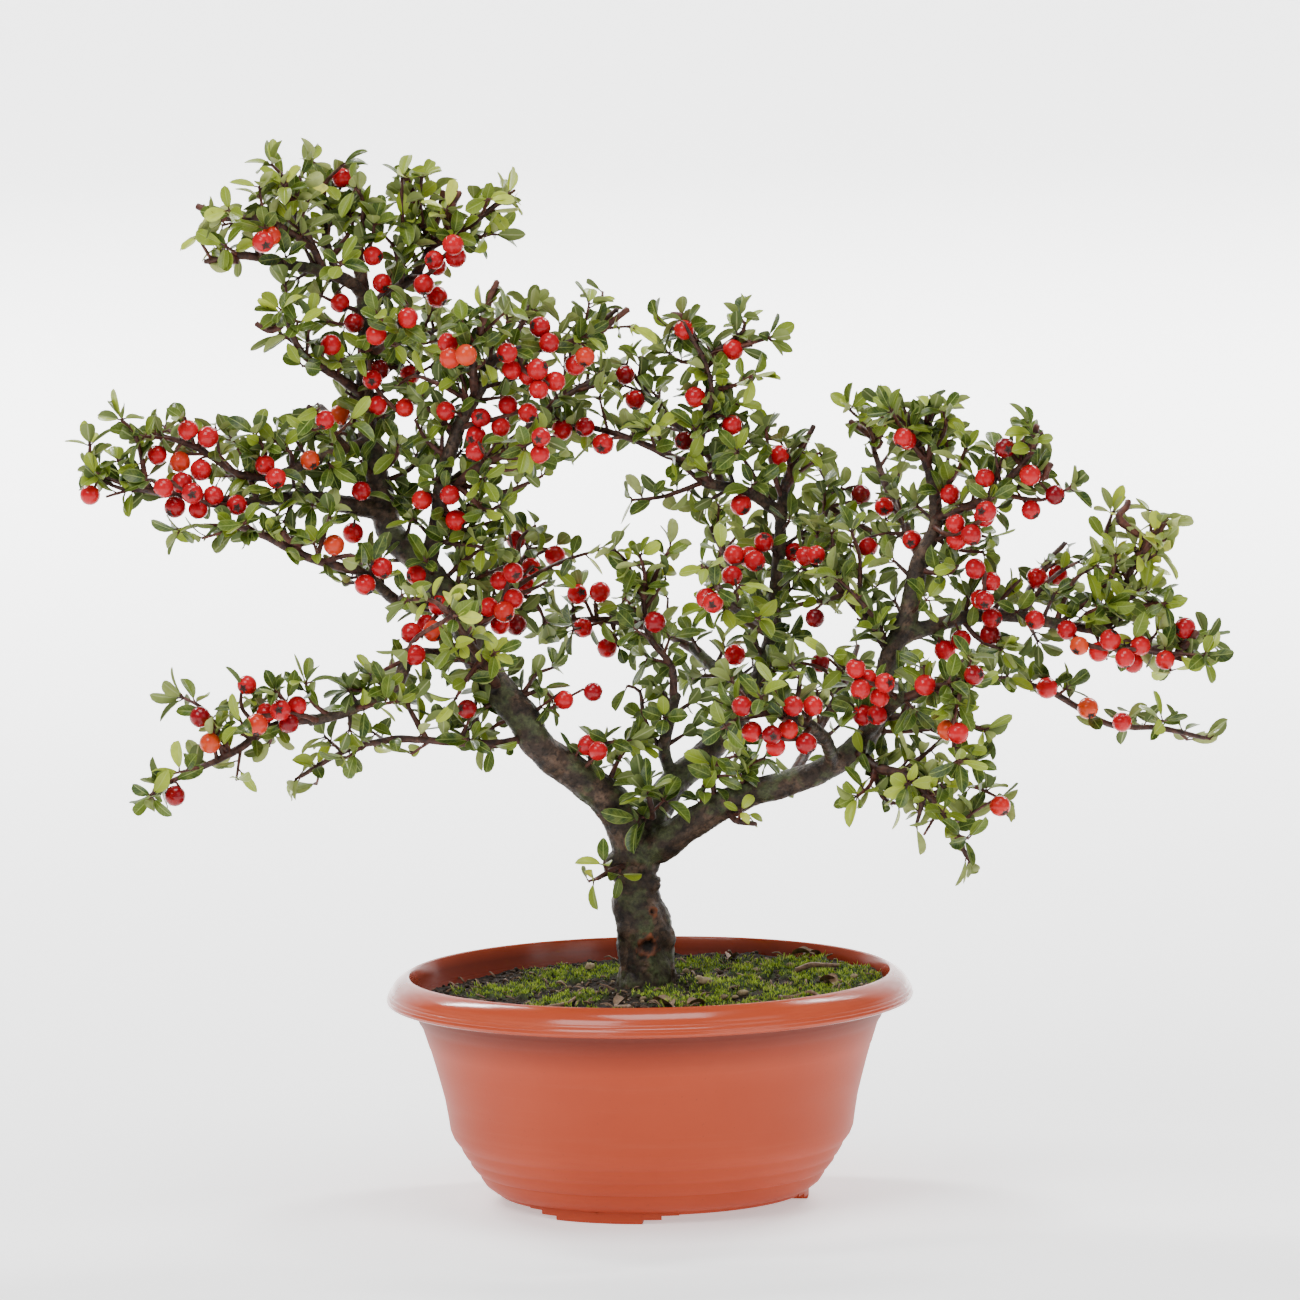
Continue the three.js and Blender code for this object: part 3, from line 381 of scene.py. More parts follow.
# Berries seen in the photograph beside those of the solid model, in pixels, by the region they hang in
BERRY_PIXELS = {
    "far_left": [
        (157, 455), (180, 462), (201, 470), (191, 492), (175, 507), (205, 513), (217, 511), (237, 505),
        (188, 430), (208, 437), (90, 495), (265, 465), (276, 478), (310, 460), (325, 420), (340, 415),
    ],
    "crown": [
        (342, 178), (271, 236), (263, 242), (449, 267), (453, 245), (466, 255), (437, 297), (373, 256),
        (382, 283), (354, 323), (340, 303), (376, 335), (377, 358), (331, 345),
    ],
    "upper": [
        (410, 375), (415, 398), (408, 318), (446, 411), (448, 343), (450, 358), (466, 355), (476, 436),
        (475, 452), (422, 500), (450, 495), (456, 520), (361, 491), (353, 533), (334, 545),
    ],
    "top": [
        (507, 353), (518, 375), (540, 327), (549, 343), (550, 367), (575, 365), (585, 357), (527, 405),
        (537, 388), (546, 404), (508, 411), (541, 437), (562, 430), (540, 454), (585, 427), (603, 444),
    ],
    "arch": [
        (625, 375), (635, 400), (695, 397), (684, 330), (733, 350), (732, 425), (684, 441),
    ],
    "middle": [
        (779, 455), (741, 505), (730, 565), (706, 598), (713, 603),
    ],
    "inner": [
        (516, 540), (515, 570), (531, 567), (525, 585), (508, 605), (516, 625), (500, 625), (555, 556),
        (425, 618), (437, 606), (415, 655), (416, 575), (382, 568), (467, 709), (365, 585), (593, 692),
        (564, 700), (588, 745), (598, 751), (600, 592), (583, 628), (607, 648), (577, 594), (655, 622),
    ],
    "lower_left": [
        (247, 685), (265, 708), (302, 713), (200, 717), (210, 743), (175, 796),
    ],
    "front": [
        (742, 706), (757, 716), (772, 722), (793, 706), (813, 706),
    ],
    "right_inner": [
        (794, 552), (805, 556), (816, 555), (815, 618), (868, 547), (735, 655), (820, 663), (860, 667),
        (876, 681), (863, 715), (877, 715), (925, 685), (945, 650), (961, 640), (948, 730), (958, 733),
        (974, 675),
    ],
    "right_upper": [
        (950, 494), (962, 540), (978, 532), (985, 478), (1005, 448), (1030, 475), (1031, 510), (1055, 495),
        (990, 520), (907, 440), (903, 438), (912, 540), (884, 507), (861, 495),
    ],
    "far_right": [
        (983, 585), (988, 600), (992, 618), (990, 635), (1037, 578), (1058, 575), (1035, 620), (1067, 630),
        (1185, 628), (1148, 645), (1133, 663), (1165, 660), (1125, 660), (1047, 688), (1088, 708),
        (1122, 722), (1000, 806),
    ],
}

# Bare twig ends: the pixel where each leaves the leaves, and its end
TIP_PIXELS = [
    ((214, 213), (197, 206)), ((428, 240), (443, 191)), ((426, 222), (403, 171)), ((272, 330), (256, 324)),
    ((236, 262), (217, 257)), ((447, 222), (460, 192)), ((480, 330), (497, 281)), ((596, 335), (628, 309)),
    ((688, 320), (671, 315)), ((733, 352), (752, 343)), ((930, 432), (927, 409)),
    ((1030, 450), (1037, 425)), ((1138, 558), (1167, 519)), ((1120, 520), (1128, 501)),
    ((880, 442), (850, 421)), ((1043, 478), (1051, 464)), ((1180, 650), (1197, 632)),
    ((300, 545), (282, 532)),
]

# Thin leafy twigs seen in the photograph beside the sprays of the solid model, in pixels, by region
TWIG_PIXELS = {
    "crown": [
        [(300, 215), (285, 180), (272, 165)], [(300, 205), (300, 178), (312, 162)],
        [(330, 215), (325, 185), (342, 166)], [(345, 250), (352, 228), (350, 215)],
        [(375, 262), (372, 240), (374, 225)], [(395, 275), (395, 250), (385, 236)],
        [(350, 255), (363, 205), (356, 188)], [(415, 265), (405, 235), (402, 205), (402, 178)],
        [(425, 250), (420, 205), (422, 178)], [(440, 240), (470, 222), (495, 205), (515, 190)],
        [(360, 310), (335, 302), (322, 296)], [(375, 330), (345, 325), (330, 322)],
        [(380, 290), (400, 262), (412, 248)], [(450, 235), (470, 240), (492, 234)],
    ],
    "upper": [
        [(378, 395), (405, 380), (430, 367)], [(470, 400), (440, 385), (415, 376), (398, 385)],
        [(455, 430), (430, 410), (412, 388)], [(445, 460), (428, 442), (415, 420)],
        [(375, 420), (395, 410), (408, 404)], [(440, 470), (442, 440), (446, 415)],
        [(390, 470), (396, 458), (398, 446)], [(400, 480), (412, 468), (416, 456)],
        [(460, 400), (462, 378), (455, 364)], [(385, 380), (400, 366), (405, 352)],
    ],
    "inner": [
        [(440, 520), (460, 530), (480, 525), (500, 520)], [(445, 545), (470, 545), (495, 550)],
        [(450, 575), (465, 560), (490, 545), (505, 540)], [(470, 590), (460, 560), (450, 538)],
        [(460, 580), (485, 575), (505, 566)], [(440, 500), (452, 518), (465, 530)],
        [(470, 500), (500, 492), (530, 482), (542, 476)], [(475, 465), (505, 470), (530, 465), (556, 458)],
        [(470, 500), (485, 510), (498, 506)], [(505, 590), (530, 578), (560, 562), (598, 550)],
        [(500, 560), (520, 540), (535, 526)], [(505, 600), (530, 590), (546, 582)],
        [(510, 590), (535, 602), (545, 622)], [(455, 610), (430, 600), (408, 600)],
        [(440, 625), (418, 636), (408, 648)], [(415, 650), (392, 666), (372, 676)],
    ],
    "arch": [
        [(705, 440), (712, 405), (708, 370), (694, 342), (684, 322)], [(707, 395), (735, 385), (752, 376)],
        [(705, 365), (725, 352), (750, 344), (768, 338)], [(738, 348), (744, 330), (740, 318)],
        [(692, 340), (672, 328), (658, 318)], [(700, 362), (682, 362), (670, 354)],
        [(700, 430), (722, 424), (734, 404)], [(695, 480), (672, 456), (656, 432)],
        [(700, 470), (725, 456), (748, 442)], [(770, 500), (752, 472), (738, 452)],
        [(780, 500), (770, 460), (766, 430)], [(785, 490), (800, 472), (822, 456)],
        [(700, 490), (665, 496), (632, 500)],
    ],
    "middle": [
        [(650, 600), (645, 575), (640, 556)], [(650, 590), (660, 566), (670, 548)],
        [(645, 585), (626, 562), (614, 550)], [(525, 700), (535, 676), (552, 668)],
        [(520, 690), (540, 690), (552, 698)], [(600, 770), (592, 750), (610, 742), (626, 742)],
        [(615, 780), (620, 757), (636, 742)], [(655, 760), (645, 720), (640, 692), (628, 686)],
        [(600, 625), (614, 636), (618, 646)], [(480, 660), (466, 680), (456, 698)],
        [(500, 700), (482, 710), (470, 728)], [(490, 690), (476, 700), (480, 728)],
        [(510, 720), (495, 726), (486, 738)], [(700, 790), (715, 766), (735, 756)],
        [(690, 800), (706, 782), (738, 774)], [(735, 790), (746, 768), (764, 758)],
    ],
    "right": [
        [(890, 450), (870, 430), (850, 410)], [(885, 445), (885, 426), (878, 410)],
        [(920, 460), (902, 430), (892, 412)], [(930, 470), (930, 430), (928, 410)],
        [(930, 460), (945, 430), (944, 412)], [(925, 500), (955, 475), (965, 450)],
        [(935, 500), (948, 460), (946, 442)], [(980, 480), (1005, 456), (1022, 442), (1030, 428)],
        [(1000, 490), (1030, 485), (1044, 470)], [(1000, 500), (1040, 500), (1070, 488)],
        [(935, 520), (965, 530), (988, 538)], [(930, 540), (960, 550), (982, 552)],
        [(920, 570), (946, 574), (958, 566)], [(870, 600), (860, 560), (852, 532)],
        [(900, 655), (875, 620), (850, 590), (832, 575)], [(845, 590), (835, 560), (832, 534)],
        [(790, 560), (820, 550), (850, 545)], [(790, 610), (810, 602), (826, 602)],
        [(850, 690), (825, 670), (800, 662)], [(800, 700), (800, 680), (792, 666)],
        [(870, 690), (845, 668), (832, 656)], [(850, 520), (870, 530), (885, 520)],
    ],
    "far_right": [
        [(1020, 620), (1040, 590), (1060, 572), (1078, 562)],
        [(1060, 625), (1090, 600), (1110, 580), (1116, 556)], [(1100, 625), (1125, 602), (1146, 592)],
        [(1095, 580), (1106, 542), (1112, 514)], [(1130, 560), (1150, 545), (1160, 524)],
        [(1120, 620), (1150, 604), (1164, 604)], [(1150, 650), (1188, 640), (1206, 640)],
        [(1130, 640), (1165, 652), (1204, 656)], [(1060, 600), (1075, 580), (1096, 566)],
        [(985, 600), (1010, 590), (1020, 580)], [(960, 630), (980, 640), (1002, 650)],
        [(1075, 625), (1090, 612), (1105, 606)],
    ],
    "right_low": [
        [(890, 765), (930, 785), (970, 786), (1000, 798)], [(940, 775), (960, 762), (972, 762)],
        [(875, 770), (870, 785), (858, 796)], [(870, 770), (885, 800), (915, 802)],
        [(950, 735), (954, 748), (958, 760)], [(910, 745), (930, 750), (942, 738)],
        [(940, 720), (965, 720), (984, 730)], [(880, 740), (905, 732), (930, 730)],
        [(890, 735), (900, 716), (908, 702)], [(925, 790), (920, 812), (916, 826)],
    ],
    "left_low": [
        [(395, 690), (372, 690), (352, 690)], [(330, 715), (312, 702), (306, 684)],
        [(300, 720), (286, 702), (276, 692)], [(260, 730), (242, 708), (242, 688)],
        [(230, 745), (206, 712), (184, 698)], [(350, 710), (375, 705), (396, 702)],
        [(170, 778), (158, 786), (152, 796)], [(425, 740), (408, 704), (420, 690)],
    ],
    "far_left": [
        [(150, 490), (120, 488), (97, 478)], [(150, 490), (140, 452), (134, 432), (122, 420)],
        [(255, 490), (242, 456), (232, 440)], [(270, 490), (265, 452), (256, 436)],
        [(100, 485), (90, 458), (90, 446)], [(300, 480), (290, 452), (276, 442)],
        [(345, 455), (312, 432), (292, 430)], [(300, 540), (250, 530), (205, 525), (180, 530)],
        [(330, 550), (350, 555), (362, 564)], [(400, 580), (372, 576), (352, 578)],
        [(320, 540), (328, 522), (330, 512)], [(375, 500), (350, 472), (332, 472)],
    ],
}

# Places where the photograph shows no leaf between and around the boughs: pixel and radius
GAP_PIXELS = [
    (188, 222, 14), (195, 275, 20), (225, 290, 20), (175, 300, 18), (335, 150, 11), (222, 180, 8),
    (378, 172, 12), (470, 172, 14), (492, 170, 13), (528, 175, 14), (535, 200, 12), (466, 200, 8),
    (500, 252, 12), (460, 285, 14), (520, 275, 17), (612, 274, 14), (632, 298, 15), (640, 320, 8),
    (698, 286, 20), (670, 298, 10), (716, 298, 8), (640, 460, 17), (600, 472, 26), (570, 500, 34),
    (640, 527, 13), (598, 520, 22), (686, 530, 13), (690, 558, 12), (682, 590, 16), (800, 395, 22),
    (820, 420, 17), (835, 438, 13), (858, 458, 11), (900, 374, 19), (930, 378, 12), (906, 394, 9),
    (1050, 418, 17), (1070, 430, 14), (1060, 452, 11), (1004, 418, 10), (1040, 540, 18), (1062, 530, 18),
    (1082, 538, 13), (1028, 552, 12), (1010, 552, 13), (1156, 495, 16), (1180, 505, 12), (1196, 532, 8),
    (1184, 556, 10), (1080, 656, 13), (1110, 672, 12), (1132, 692, 13), (1090, 745, 16), (1112, 750, 12),
    (1185, 760, 18), (1210, 750, 10), (1062, 706, 10), (1020, 705, 14), (990, 696, 11), (1182, 685, 9),
    (1200, 686, 12), (1150, 752, 14), (930, 870, 16), (950, 858, 13), (930, 845, 10), (988, 856, 12),
    (900, 842, 14), (800, 750, 15), (820, 744, 13), (784, 745, 9), (770, 845, 18), (784, 815, 13),
    (750, 850, 12), (835, 632, 17), (858, 648, 9), (850, 612, 9), (404, 634, 8), (386, 592, 9),
    (370, 602, 13), (345, 600, 10), (330, 586, 10), (310, 572, 13), (255, 560, 13), (200, 556, 15),
    (145, 512, 10), (100, 512, 12), (74, 458, 11), (160, 398, 12), (216, 404, 13), (196, 408, 9),
    (300, 390, 20), (328, 390, 12), (290, 374, 9), (286, 405, 11), (404, 426, 9), (150, 745, 18),
    (135, 756, 12), (190, 792, 14), (215, 780, 13), (240, 796, 16), (285, 766, 9), (310, 802, 13),
    (330, 782, 12), (405, 726, 12), (376, 766, 12), (410, 771, 16), (430, 760, 12), (440, 690, 9),
    (570, 892, 15), (558, 878, 10), (600, 922, 9), (585, 916, 12), (590, 662, 13), (622, 680, 11),
    (602, 712, 14), (575, 664, 8),
]

# A leaf: the rows and columns of its grid, its stalk's share of the length, how its outline runs and how slim
LEAF_ROWS = (0.1, 0.24, 0.42, 0.6, 0.78, 0.92)
LEAF_COLUMNS = (-1, -0.5, 0, 0.5, 1)
PETIOLE_SHARE = 0.13
BLADE_BASE = 0.85
ROUND_TIP = 0.46
POINTED_TIP = 0.85
SLIMNESS = 0.86
# Where leaves sit along a shoot, how far apart they are on stems and twigs, and how twigs drift in depth
SIDE_LEAVES = (0.42, 0.66, 0.88)
STEM_LEAF_SPACING = 8
TWIG_LEAF_SPACING = 5
TWIG_DRIFT = (-14, 8)
# Painted shade inside the crown: how much darker leaves are near the wood, and how far from it they reach
# their own tone
INNER_SHADE = -0.34
OUTER_REACH = (5, 34)
# How near to a berry's middle, in pixels, most leaves in front of it are left out, and the share of them
BERRY_SHOWN = 12
SHOWN_SHARE = 0.96
# How leaves differ: roll round their length in radians, cup and droop of the blade, tone
ROLL_RANGE = (-0.45, 0.45)
CUP_RANGE = (0.15, 0.75)
DROOP_RANGE = (-0.12, 0.36)
TONE_RANGE = (-0.34, 0.4)
# The same for leaves beside a shoot and in a tuft: lift from the stem, length and width as shares
SIDE_LIFT = (0.25, 0.85)
SIDE_LENGTH = (0.68, 1.06)
SIDE_WIDTH = (0.72, 1.1)
TUFT_LIFT = (0.3, 1.1)
TUFT_LENGTH = (0.72, 1.12)
TUFT_WIDTH = (0.75, 1.15)
# How far a spur stands out, and from which length it carries a second tuft
SPUR_LENGTH = (3.5, 11)
LONG_SPUR = 7
# How far from a leaf obstacles are looked for
OBSTACLE_REACH = 13
# Radii of thin wood from its start to its end
SHOOT_RADII = (0.8, 0.65, 0.5)
SPUR_RADII = (1, 0.8, 0.6)
TIP_RADII = (1.5, 1.45, 1.35, 1.25)
BERRY_TWIG_RADII = (1.1, 0.95, 0.8)
BERRY_STALK_RADII = (0.6, 0.5, 0.55)
# The number from which the draws of each kind of added thing start
SPUR_KEYS = 5000
TUFT_KEYS = 9000
PEBBLE_KEYS = 9000
TWIG_KEYS = 20000
STALK_KEYS = 60000
BERRY_KEYS = 800
# Creases sharper than these degrees stay sharp
FINE_CREASE = 60
POT_CREASE = 35
SOIL_CREASE = 80
NO_CREASE = 180
# Soil: how finely it is built, the height and radius of its side at three places, how far from the trunk's
# middle nothing lies, and the number and measures of the moss spikes, grains, bits and dead leaves on it
SOIL_RINGS = 58
SOIL_SIDES = 190
SOIL_WALL = ((60, 79.95), (31, 73.8), (10, 61.9))
TRUNK_CLEARANCE = 13
MOSS_SPIKES = 26000
SPIKE_LENGTH = (1.1, 2)
SPIKE_WIDTH = (0.22, 0.42)
GRAINS = 2600
GRAIN_SIZE = (0.35, 1.15)
GRAIN_STRETCH = ((0.8, 1.3), (0.8, 1.3), (0.5, 0.9))
BIT_LENGTH = (1.5, 5.5)
BIT_WIDTH = (0.22, 0.5)
DEAD_LEAF_LENGTH = (7.5, 10.5)
DEAD_LEAF_WIDTH = 5.5


def draw(first, second):
    value = math.sin(first * 12.9898 + second * 78.233 + SEED) * 43758.5453
    return value - math.floor(value)


def between(limits, first, second):
    low, high = limits
    return low + (high - low) * draw(first, second)


def sideways(axis, turn):
    """A direction square to an axis, turned round it."""
    reference = Vector((0, 1, 0)) if abs(axis.z) > 0.9 else UP
    level = axis.cross(reference).normalized()
    rise = axis.cross(level)
    return level * math.cos(turn) + rise * math.sin(turn)


def smooth(value, low, high):
    share = min(max((value - low) / (high - low), 0), 1)
    return share * share * (3 - 2 * share)


def photo_place(pixel, depth):
    """The place that a pixel of the photograph shows at a given depth, in millimetres."""
    right = pixel[0] - PHOTO_SIZE / 2
    up = PHOTO_SIZE / 2 - pixel[1]
    across = right * math.cos(CAMERA_ROLL) + up * math.sin(CAMERA_ROLL)
    level = up * math.cos(CAMERA_ROLL) - right * math.sin(CAMERA_ROLL)
    cosine, sine = math.cos(CAMERA_PITCH), math.sin(CAMERA_PITCH)
    away = depth - CAMERA_PLACE[1]
    rise = away * (level * cosine - FOCAL_PIXELS * sine) / (FOCAL_PIXELS * cosine + level * sine)
    reach = away * cosine - rise * sine
    return Vector((CAMERA_PLACE[0] + across * reach / FOCAL_PIXELS, depth, CAMERA_PLACE[2] + rise))


def photo_pixel(place):
    """The pixel of the photograph in which a place is seen."""
    cosine, sine = math.cos(CAMERA_PITCH), math.sin(CAMERA_PITCH)
    away = place.y - CAMERA_PLACE[1]
    rise = place.z - CAMERA_PLACE[2]
    reach = away * cosine - rise * sine
    across = (place.x - CAMERA_PLACE[0]) * FOCAL_PIXELS / reach
    level = (rise * cosine + away * sine) * FOCAL_PIXELS / reach
    right = across * math.cos(CAMERA_ROLL) - level * math.sin(CAMERA_ROLL)
    up = across * math.sin(CAMERA_ROLL) + level * math.cos(CAMERA_ROLL)
    return Vector((PHOTO_SIZE / 2 + right, PHOTO_SIZE / 2 - up))


# Meshes


def set_marks(mesh, marks):
    """Gives each point of a mesh its three marks, which the materials read."""
    attribute = mesh.attributes.new("marks", "FLOAT_VECTOR", "POINT")
    attribute.data.foreach_set("vector", marks.ravel())


def ring_faces(rings, sides):
    """Four-cornered faces between each of so many rings of points and the next."""
    faces = []
    for ring in range(rings - 1):
        for side in range(sides):
            low = ring * sides + side
            after = ring * sides + (side + 1) % sides
            faces.append((low, after, after + sides, low + sides))
    return faces


def capped_faces(rings, sides):
    """The same with one more face over the first ring and one over the last."""
    first = tuple(range(sides))[::-1]
    last = tuple(range((rings - 1) * sides, rings * sides))
    return [*ring_faces(rings, sides), first, last]


class Shape:
    """Points, faces, a material number for each face and three marks for each point, all for one mesh."""

    def __init__(self):
        self.points = []
        self.marks = []
        self.faces = []
        self.materials = []
        self.count = 0

    def add(self, points, faces, material=0, marks=(0, 0, 0)):
        points = np.asarray(points, float).reshape(-1, 3)
        self.points.append(points)
        self.marks.append(np.broadcast_to(np.asarray(marks, float), points.shape))
        self.faces.extend([tuple(corner + self.count for corner in face) for face in faces])
        self.materials.extend([material] * len(faces))
        self.count += len(points)

    def mesh(self, name):
        mesh = bpy.data.meshes.new(name)
        points = np.concatenate(self.points)
        points = (points - (MIDDLE_X, 0, 0)) * MM
        mesh.from_pydata(points.tolist(), [], self.faces)
        set_marks(mesh, np.concatenate(self.marks))
        mesh.polygons.foreach_set("material_index", self.materials)
        return mesh


def piece(name, mesh, materials, replaced=(), crease=FINE_CREASE):
    """One shown object on the root body, smooth but for creases sharper than the given degrees."""
    for material in materials:
        mesh.materials.append(material)
    mesh.polygons.foreach_set("use_smooth", [True] * len(mesh.polygons))
    mesh.set_sharp_from_angle(angle=math.radians(crease))
    mesh.update()
    item = bpy.data.objects.new(name, mesh)
    bpy.context.scene.collection.objects.link(item)
    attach(item, "root")
    if replaced:
        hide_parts(*replaced)


def three_points(start, end, radii):
    """A straight route with its radii at the start, the middle and the end."""
    middle = start.lerp(end, 0.5)
    return [(*start, radii[0]), (*middle, radii[1]), (*end, radii[2])]


def curve_points(route, spacing):
    """Points, radii and directions about every spacing along a route of (x, y, z, radius), smoothly bent."""
    rows = [np.array(point, float) for point in route]
    rows = [2 * rows[0] - rows[1], *rows, 2 * rows[-1] - rows[-2]]
    found = []
    for before, start, end, after in zip(rows, rows[1:], rows[2:], rows[3:]):
        count = max(1, round(np.linalg.norm(end[:3] - start[:3]) / spacing))
        for step in range(count):
            t = step / count
            found.append(0.5 * (
                2 * start + (end - before) * t
                + (2 * before - 5 * start + 4 * end - after) * t**2
                + (3 * start - before - 3 * end + after) * t**3
            ))
    found.append(rows[-2])
    points = [Vector(row[:3]) for row in found]
    radii = [row[3] for row in found]
    steps = [(b - a).normalized() for a, b in zip(points, points[1:])]
    directions = [steps[0], *[(a + b).normalized() for a, b in zip(steps, steps[1:])], steps[-1]]
    return points, radii, directions


def leafy_piece(name, shape, leaves, replaced=()):
    """The shown piece of some thin wood and the leaves on it."""
    leaves.fill(shape, LEAF_SLOT, UNDER_SLOT, TWIG_SLOT)
    piece(name, shape.mesh(name), LEAFY_MATERIALS, replaced)


def tube(shape, route, sides, spacing, material=0, marks=(0, 0, 0), rough=0.0, key=0):
    """A closed tube with domed ends along a route, its skin roughened by a share of its radius."""
    points, radii, directions = curve_points(route, spacing)
    normal = sideways(directions[0], 0)
    rings = []
    last = len(points) - 1
    for index, (point, radius, direction) in enumerate(zip(points, radii, directions)):
        normal = (normal - direction * normal.dot(direction)).normalized()
        across = direction.cross(normal)
        for corner in range(sides):
            turn = TURN * corner / sides
            out = normal * math.cos(turn) + across * math.sin(turn)
            lump = noise.noise(Vector((index * spacing * 0.3 + key, 2 * out.x, 2 * out.y + 3 * out.z)))
            rings.append(point + out * radius * (1 + rough * lump))
    rings.append(points[0] - directions[0] * radii[0] * 0.5)
    rings.append(points[-1] + directions[-1] * radii[-1] * 0.5)
    faces = ring_faces(last + 1, sides)
    start = (last + 1) * sides
    end = start + 1
    for corner in range(sides):
        after = (corner + 1) % sides
        faces.append((start, after, corner))
        faces.append((end, last * sides + corner, last * sides + after))
    shape.add([tuple(point) for point in rings], faces, material, marks)


# Leaves


def leaf_width(share, tip):
    """Width of a blade at a share of its length, as a share of its greatest; a higher tip is more pointed."""
    widest = BLADE_BASE / (BLADE_BASE + tip)
    return (share**BLADE_BASE * (1 - share) ** tip) / (widest**BLADE_BASE * (1 - widest) ** tip)


def leaf_template():
    """The grid of one leaf: along, across, side, and its upper and lower faces."""
    grid = [(row, column, 1) for row in LEAF_ROWS for column in LEAF_COLUMNS]
    under = [(row, column, -1) for row in LEAF_ROWS for column in LEAF_COLUMNS[1:-1]]
    corners = [(0, 0, 0), *grid, (1, 0, 0), *under]
    width = len(LEAF_COLUMNS)
    tip = 1 + len(grid)

    def upper(row, column):
        return 1 + row * width + column

    def lower(row, column):
        if column in (0, width - 1):
            return upper(row, column)
        return tip + 1 + row * (width - 2) + column - 1

    def skin(at, turned):
        faces = []
        end = len(LEAF_ROWS) - 1
        for column in range(width - 1):
            faces.append((0, at(0, column), at(0, column + 1)))
            faces.append((at(end, column), tip, at(end, column + 1)))
            for row in range(end):
                near, far = at(row, column), at(row + 1, column)
                faces.append((near, far, at(row + 1, column + 1), at(row, column + 1)))
        return [face[::-1] for face in faces] if turned else faces

    return np.array(corners, float), skin(upper, False), skin(lower, True)


LEAF_CORNERS, LEAF_UPPER, LEAF_LOWER = leaf_template()
PETIOLE_FACES = [(0, 1, 4, 3), (1, 2, 5, 4), (2, 0, 3, 5), (2, 1, 0), (3, 4, 5)]


class Leaves:
    """Leaves gathered for one piece: where each grows, how it points, and its form."""

    def __init__(self, tone=0.5, size=1.0):
        self.tone = tone
        self.size = size
        self.rows = []

    def grow(self, root, aim, turn, lift, length, width, key):
        out = sideways(aim, turn)
        across = aim.cross(out)
        along = out * math.cos(lift) + aim * math.sin(lift)
        roll = between(ROLL_RANGE, key, 81)
        up = along.cross(across)
        across = across * math.cos(roll) + up * math.sin(roll)
        # Painted shade: a leaf near the wood or a berry gets a darker tone.
        _, _, from_wood = OBSTACLE_TREE.find(root)
        outer = smooth(from_wood, *OUTER_REACH)
        tone = self.tone + between(TONE_RANGE, key, 84) + INNER_SHADE * (1 - outer)
        tone = min(max(tone, 0), 1)
        cup = between(CUP_RANGE, key, 82)
        droop = between(DROOP_RANGE, key, 83)
        point = draw(key, 86) ** 1.3
        length = length * self.size
        if is_blocked(root, along, length) or is_unseen(root, along, length, key):
            return
        form = (length, width * self.size, cup, droop, tone, point)
        self.rows.append((tuple(root), tuple(along), tuple(across), form))

    def fill(self, shape, top, under, stalk):
        """Puts every leaf into the shape, its blade arched along and cupped across, on a short stalk."""
        if not self.rows:
            return
        root = np.array([row[0] for row in self.rows])
        along = np.array([row[1] for row in self.rows])
        across = np.array([row[2] for row in self.rows])
        form = np.array([row[3] for row in self.rows])
        up = np.cross(along, across)
        length, width, cup, droop, tone, point = form.T
        share, side, face = LEAF_CORNERS.T
        point = point[:, None]
        half = leaf_width(share, ROUND_TIP) * (1 - point) + leaf_width(share, POINTED_TIP) * point
        half = half * 0.5 * SLIMNESS
        blade = (1 - PETIOLE_SHARE) * length
        forward = PETIOLE_SHARE * length[:, None] + blade[:, None] * share
        sidewards = side * half * width[:, None]
        height = -droop[:, None] * blade[:, None] * share**2
        height = height + cup[:, None] * np.abs(side) ** 1.6 * half * width[:, None]
        height = height + face * (1 - side**2) * LEAF_THICKNESS / 2 * np.minimum(half * 4, 1)
        points = (
            root[:, None] + along[:, None] * forward[..., None] + across[:, None] * sidewards[..., None]
            + up[:, None] * height[..., None]
        )
        marks = np.empty_like(points)
        marks[..., 0] = share
        marks[..., 1] = side
        marks[..., 2] = tone[:, None]
        size = len(LEAF_CORNERS)
        count = len(self.rows)
        for skin, material in ((LEAF_UPPER, top), (LEAF_LOWER, under)):
            offsets = [leaf * size for leaf in range(count)]
            faces = [tuple(corner + offset for corner in each) for offset in offsets for each in skin]
            if skin is LEAF_UPPER:
                shape.add(points.reshape(-1, 3), faces, material, marks.reshape(-1, 3))
                shape.count -= count * size
            else:
                shape.faces.extend([tuple(corner + shape.count for corner in each) for each in faces])
                shape.materials.extend([material] * len(faces))
        shape.count += count * size
        for (start, direction, wide, _), blade_start in zip(self.rows, forward[:, 0]):
            start, direction, wide = Vector(start), Vector(direction), Vector(wide)
            third = direction.cross(wide)
            ring = [wide * math.cos(TURN * i / 3) + third * math.sin(TURN * i / 3) for i in range(3)]
            foot = [tuple(start - direction * 0.5 + out * 0.5) for out in ring]
            head = [tuple(start + direction * (blade_start + 0.9) + out * 0.28) for out in ring]
            shape.add(foot + head, PETIOLE_FACES, stalk, (0.5, 0, 0.8))


def search_tree(places):
    """A search tree over places, each known by its number in the list."""
    tree = KDTree(len(places))
    for index, place in enumerate(places):
        tree.insert(place, index)
    tree.balance()
    return tree


def is_blocked(root, along, length):
    for share in (0.5, 0.8):
        place = root + along * length * share
        for _, index, distance in OBSTACLE_TREE.find_range(place, OBSTACLE_REACH):
            if distance < OBSTACLES[index][1]:
                return True
    return False


def is_gap(pixel):
    """Whether the photograph shows no leaf at a pixel, by its gaps between the boughs."""
    return any((pixel.x - x) ** 2 + (pixel.y - y) ** 2 < radius**2 for x, y, radius in GAP_PIXELS)


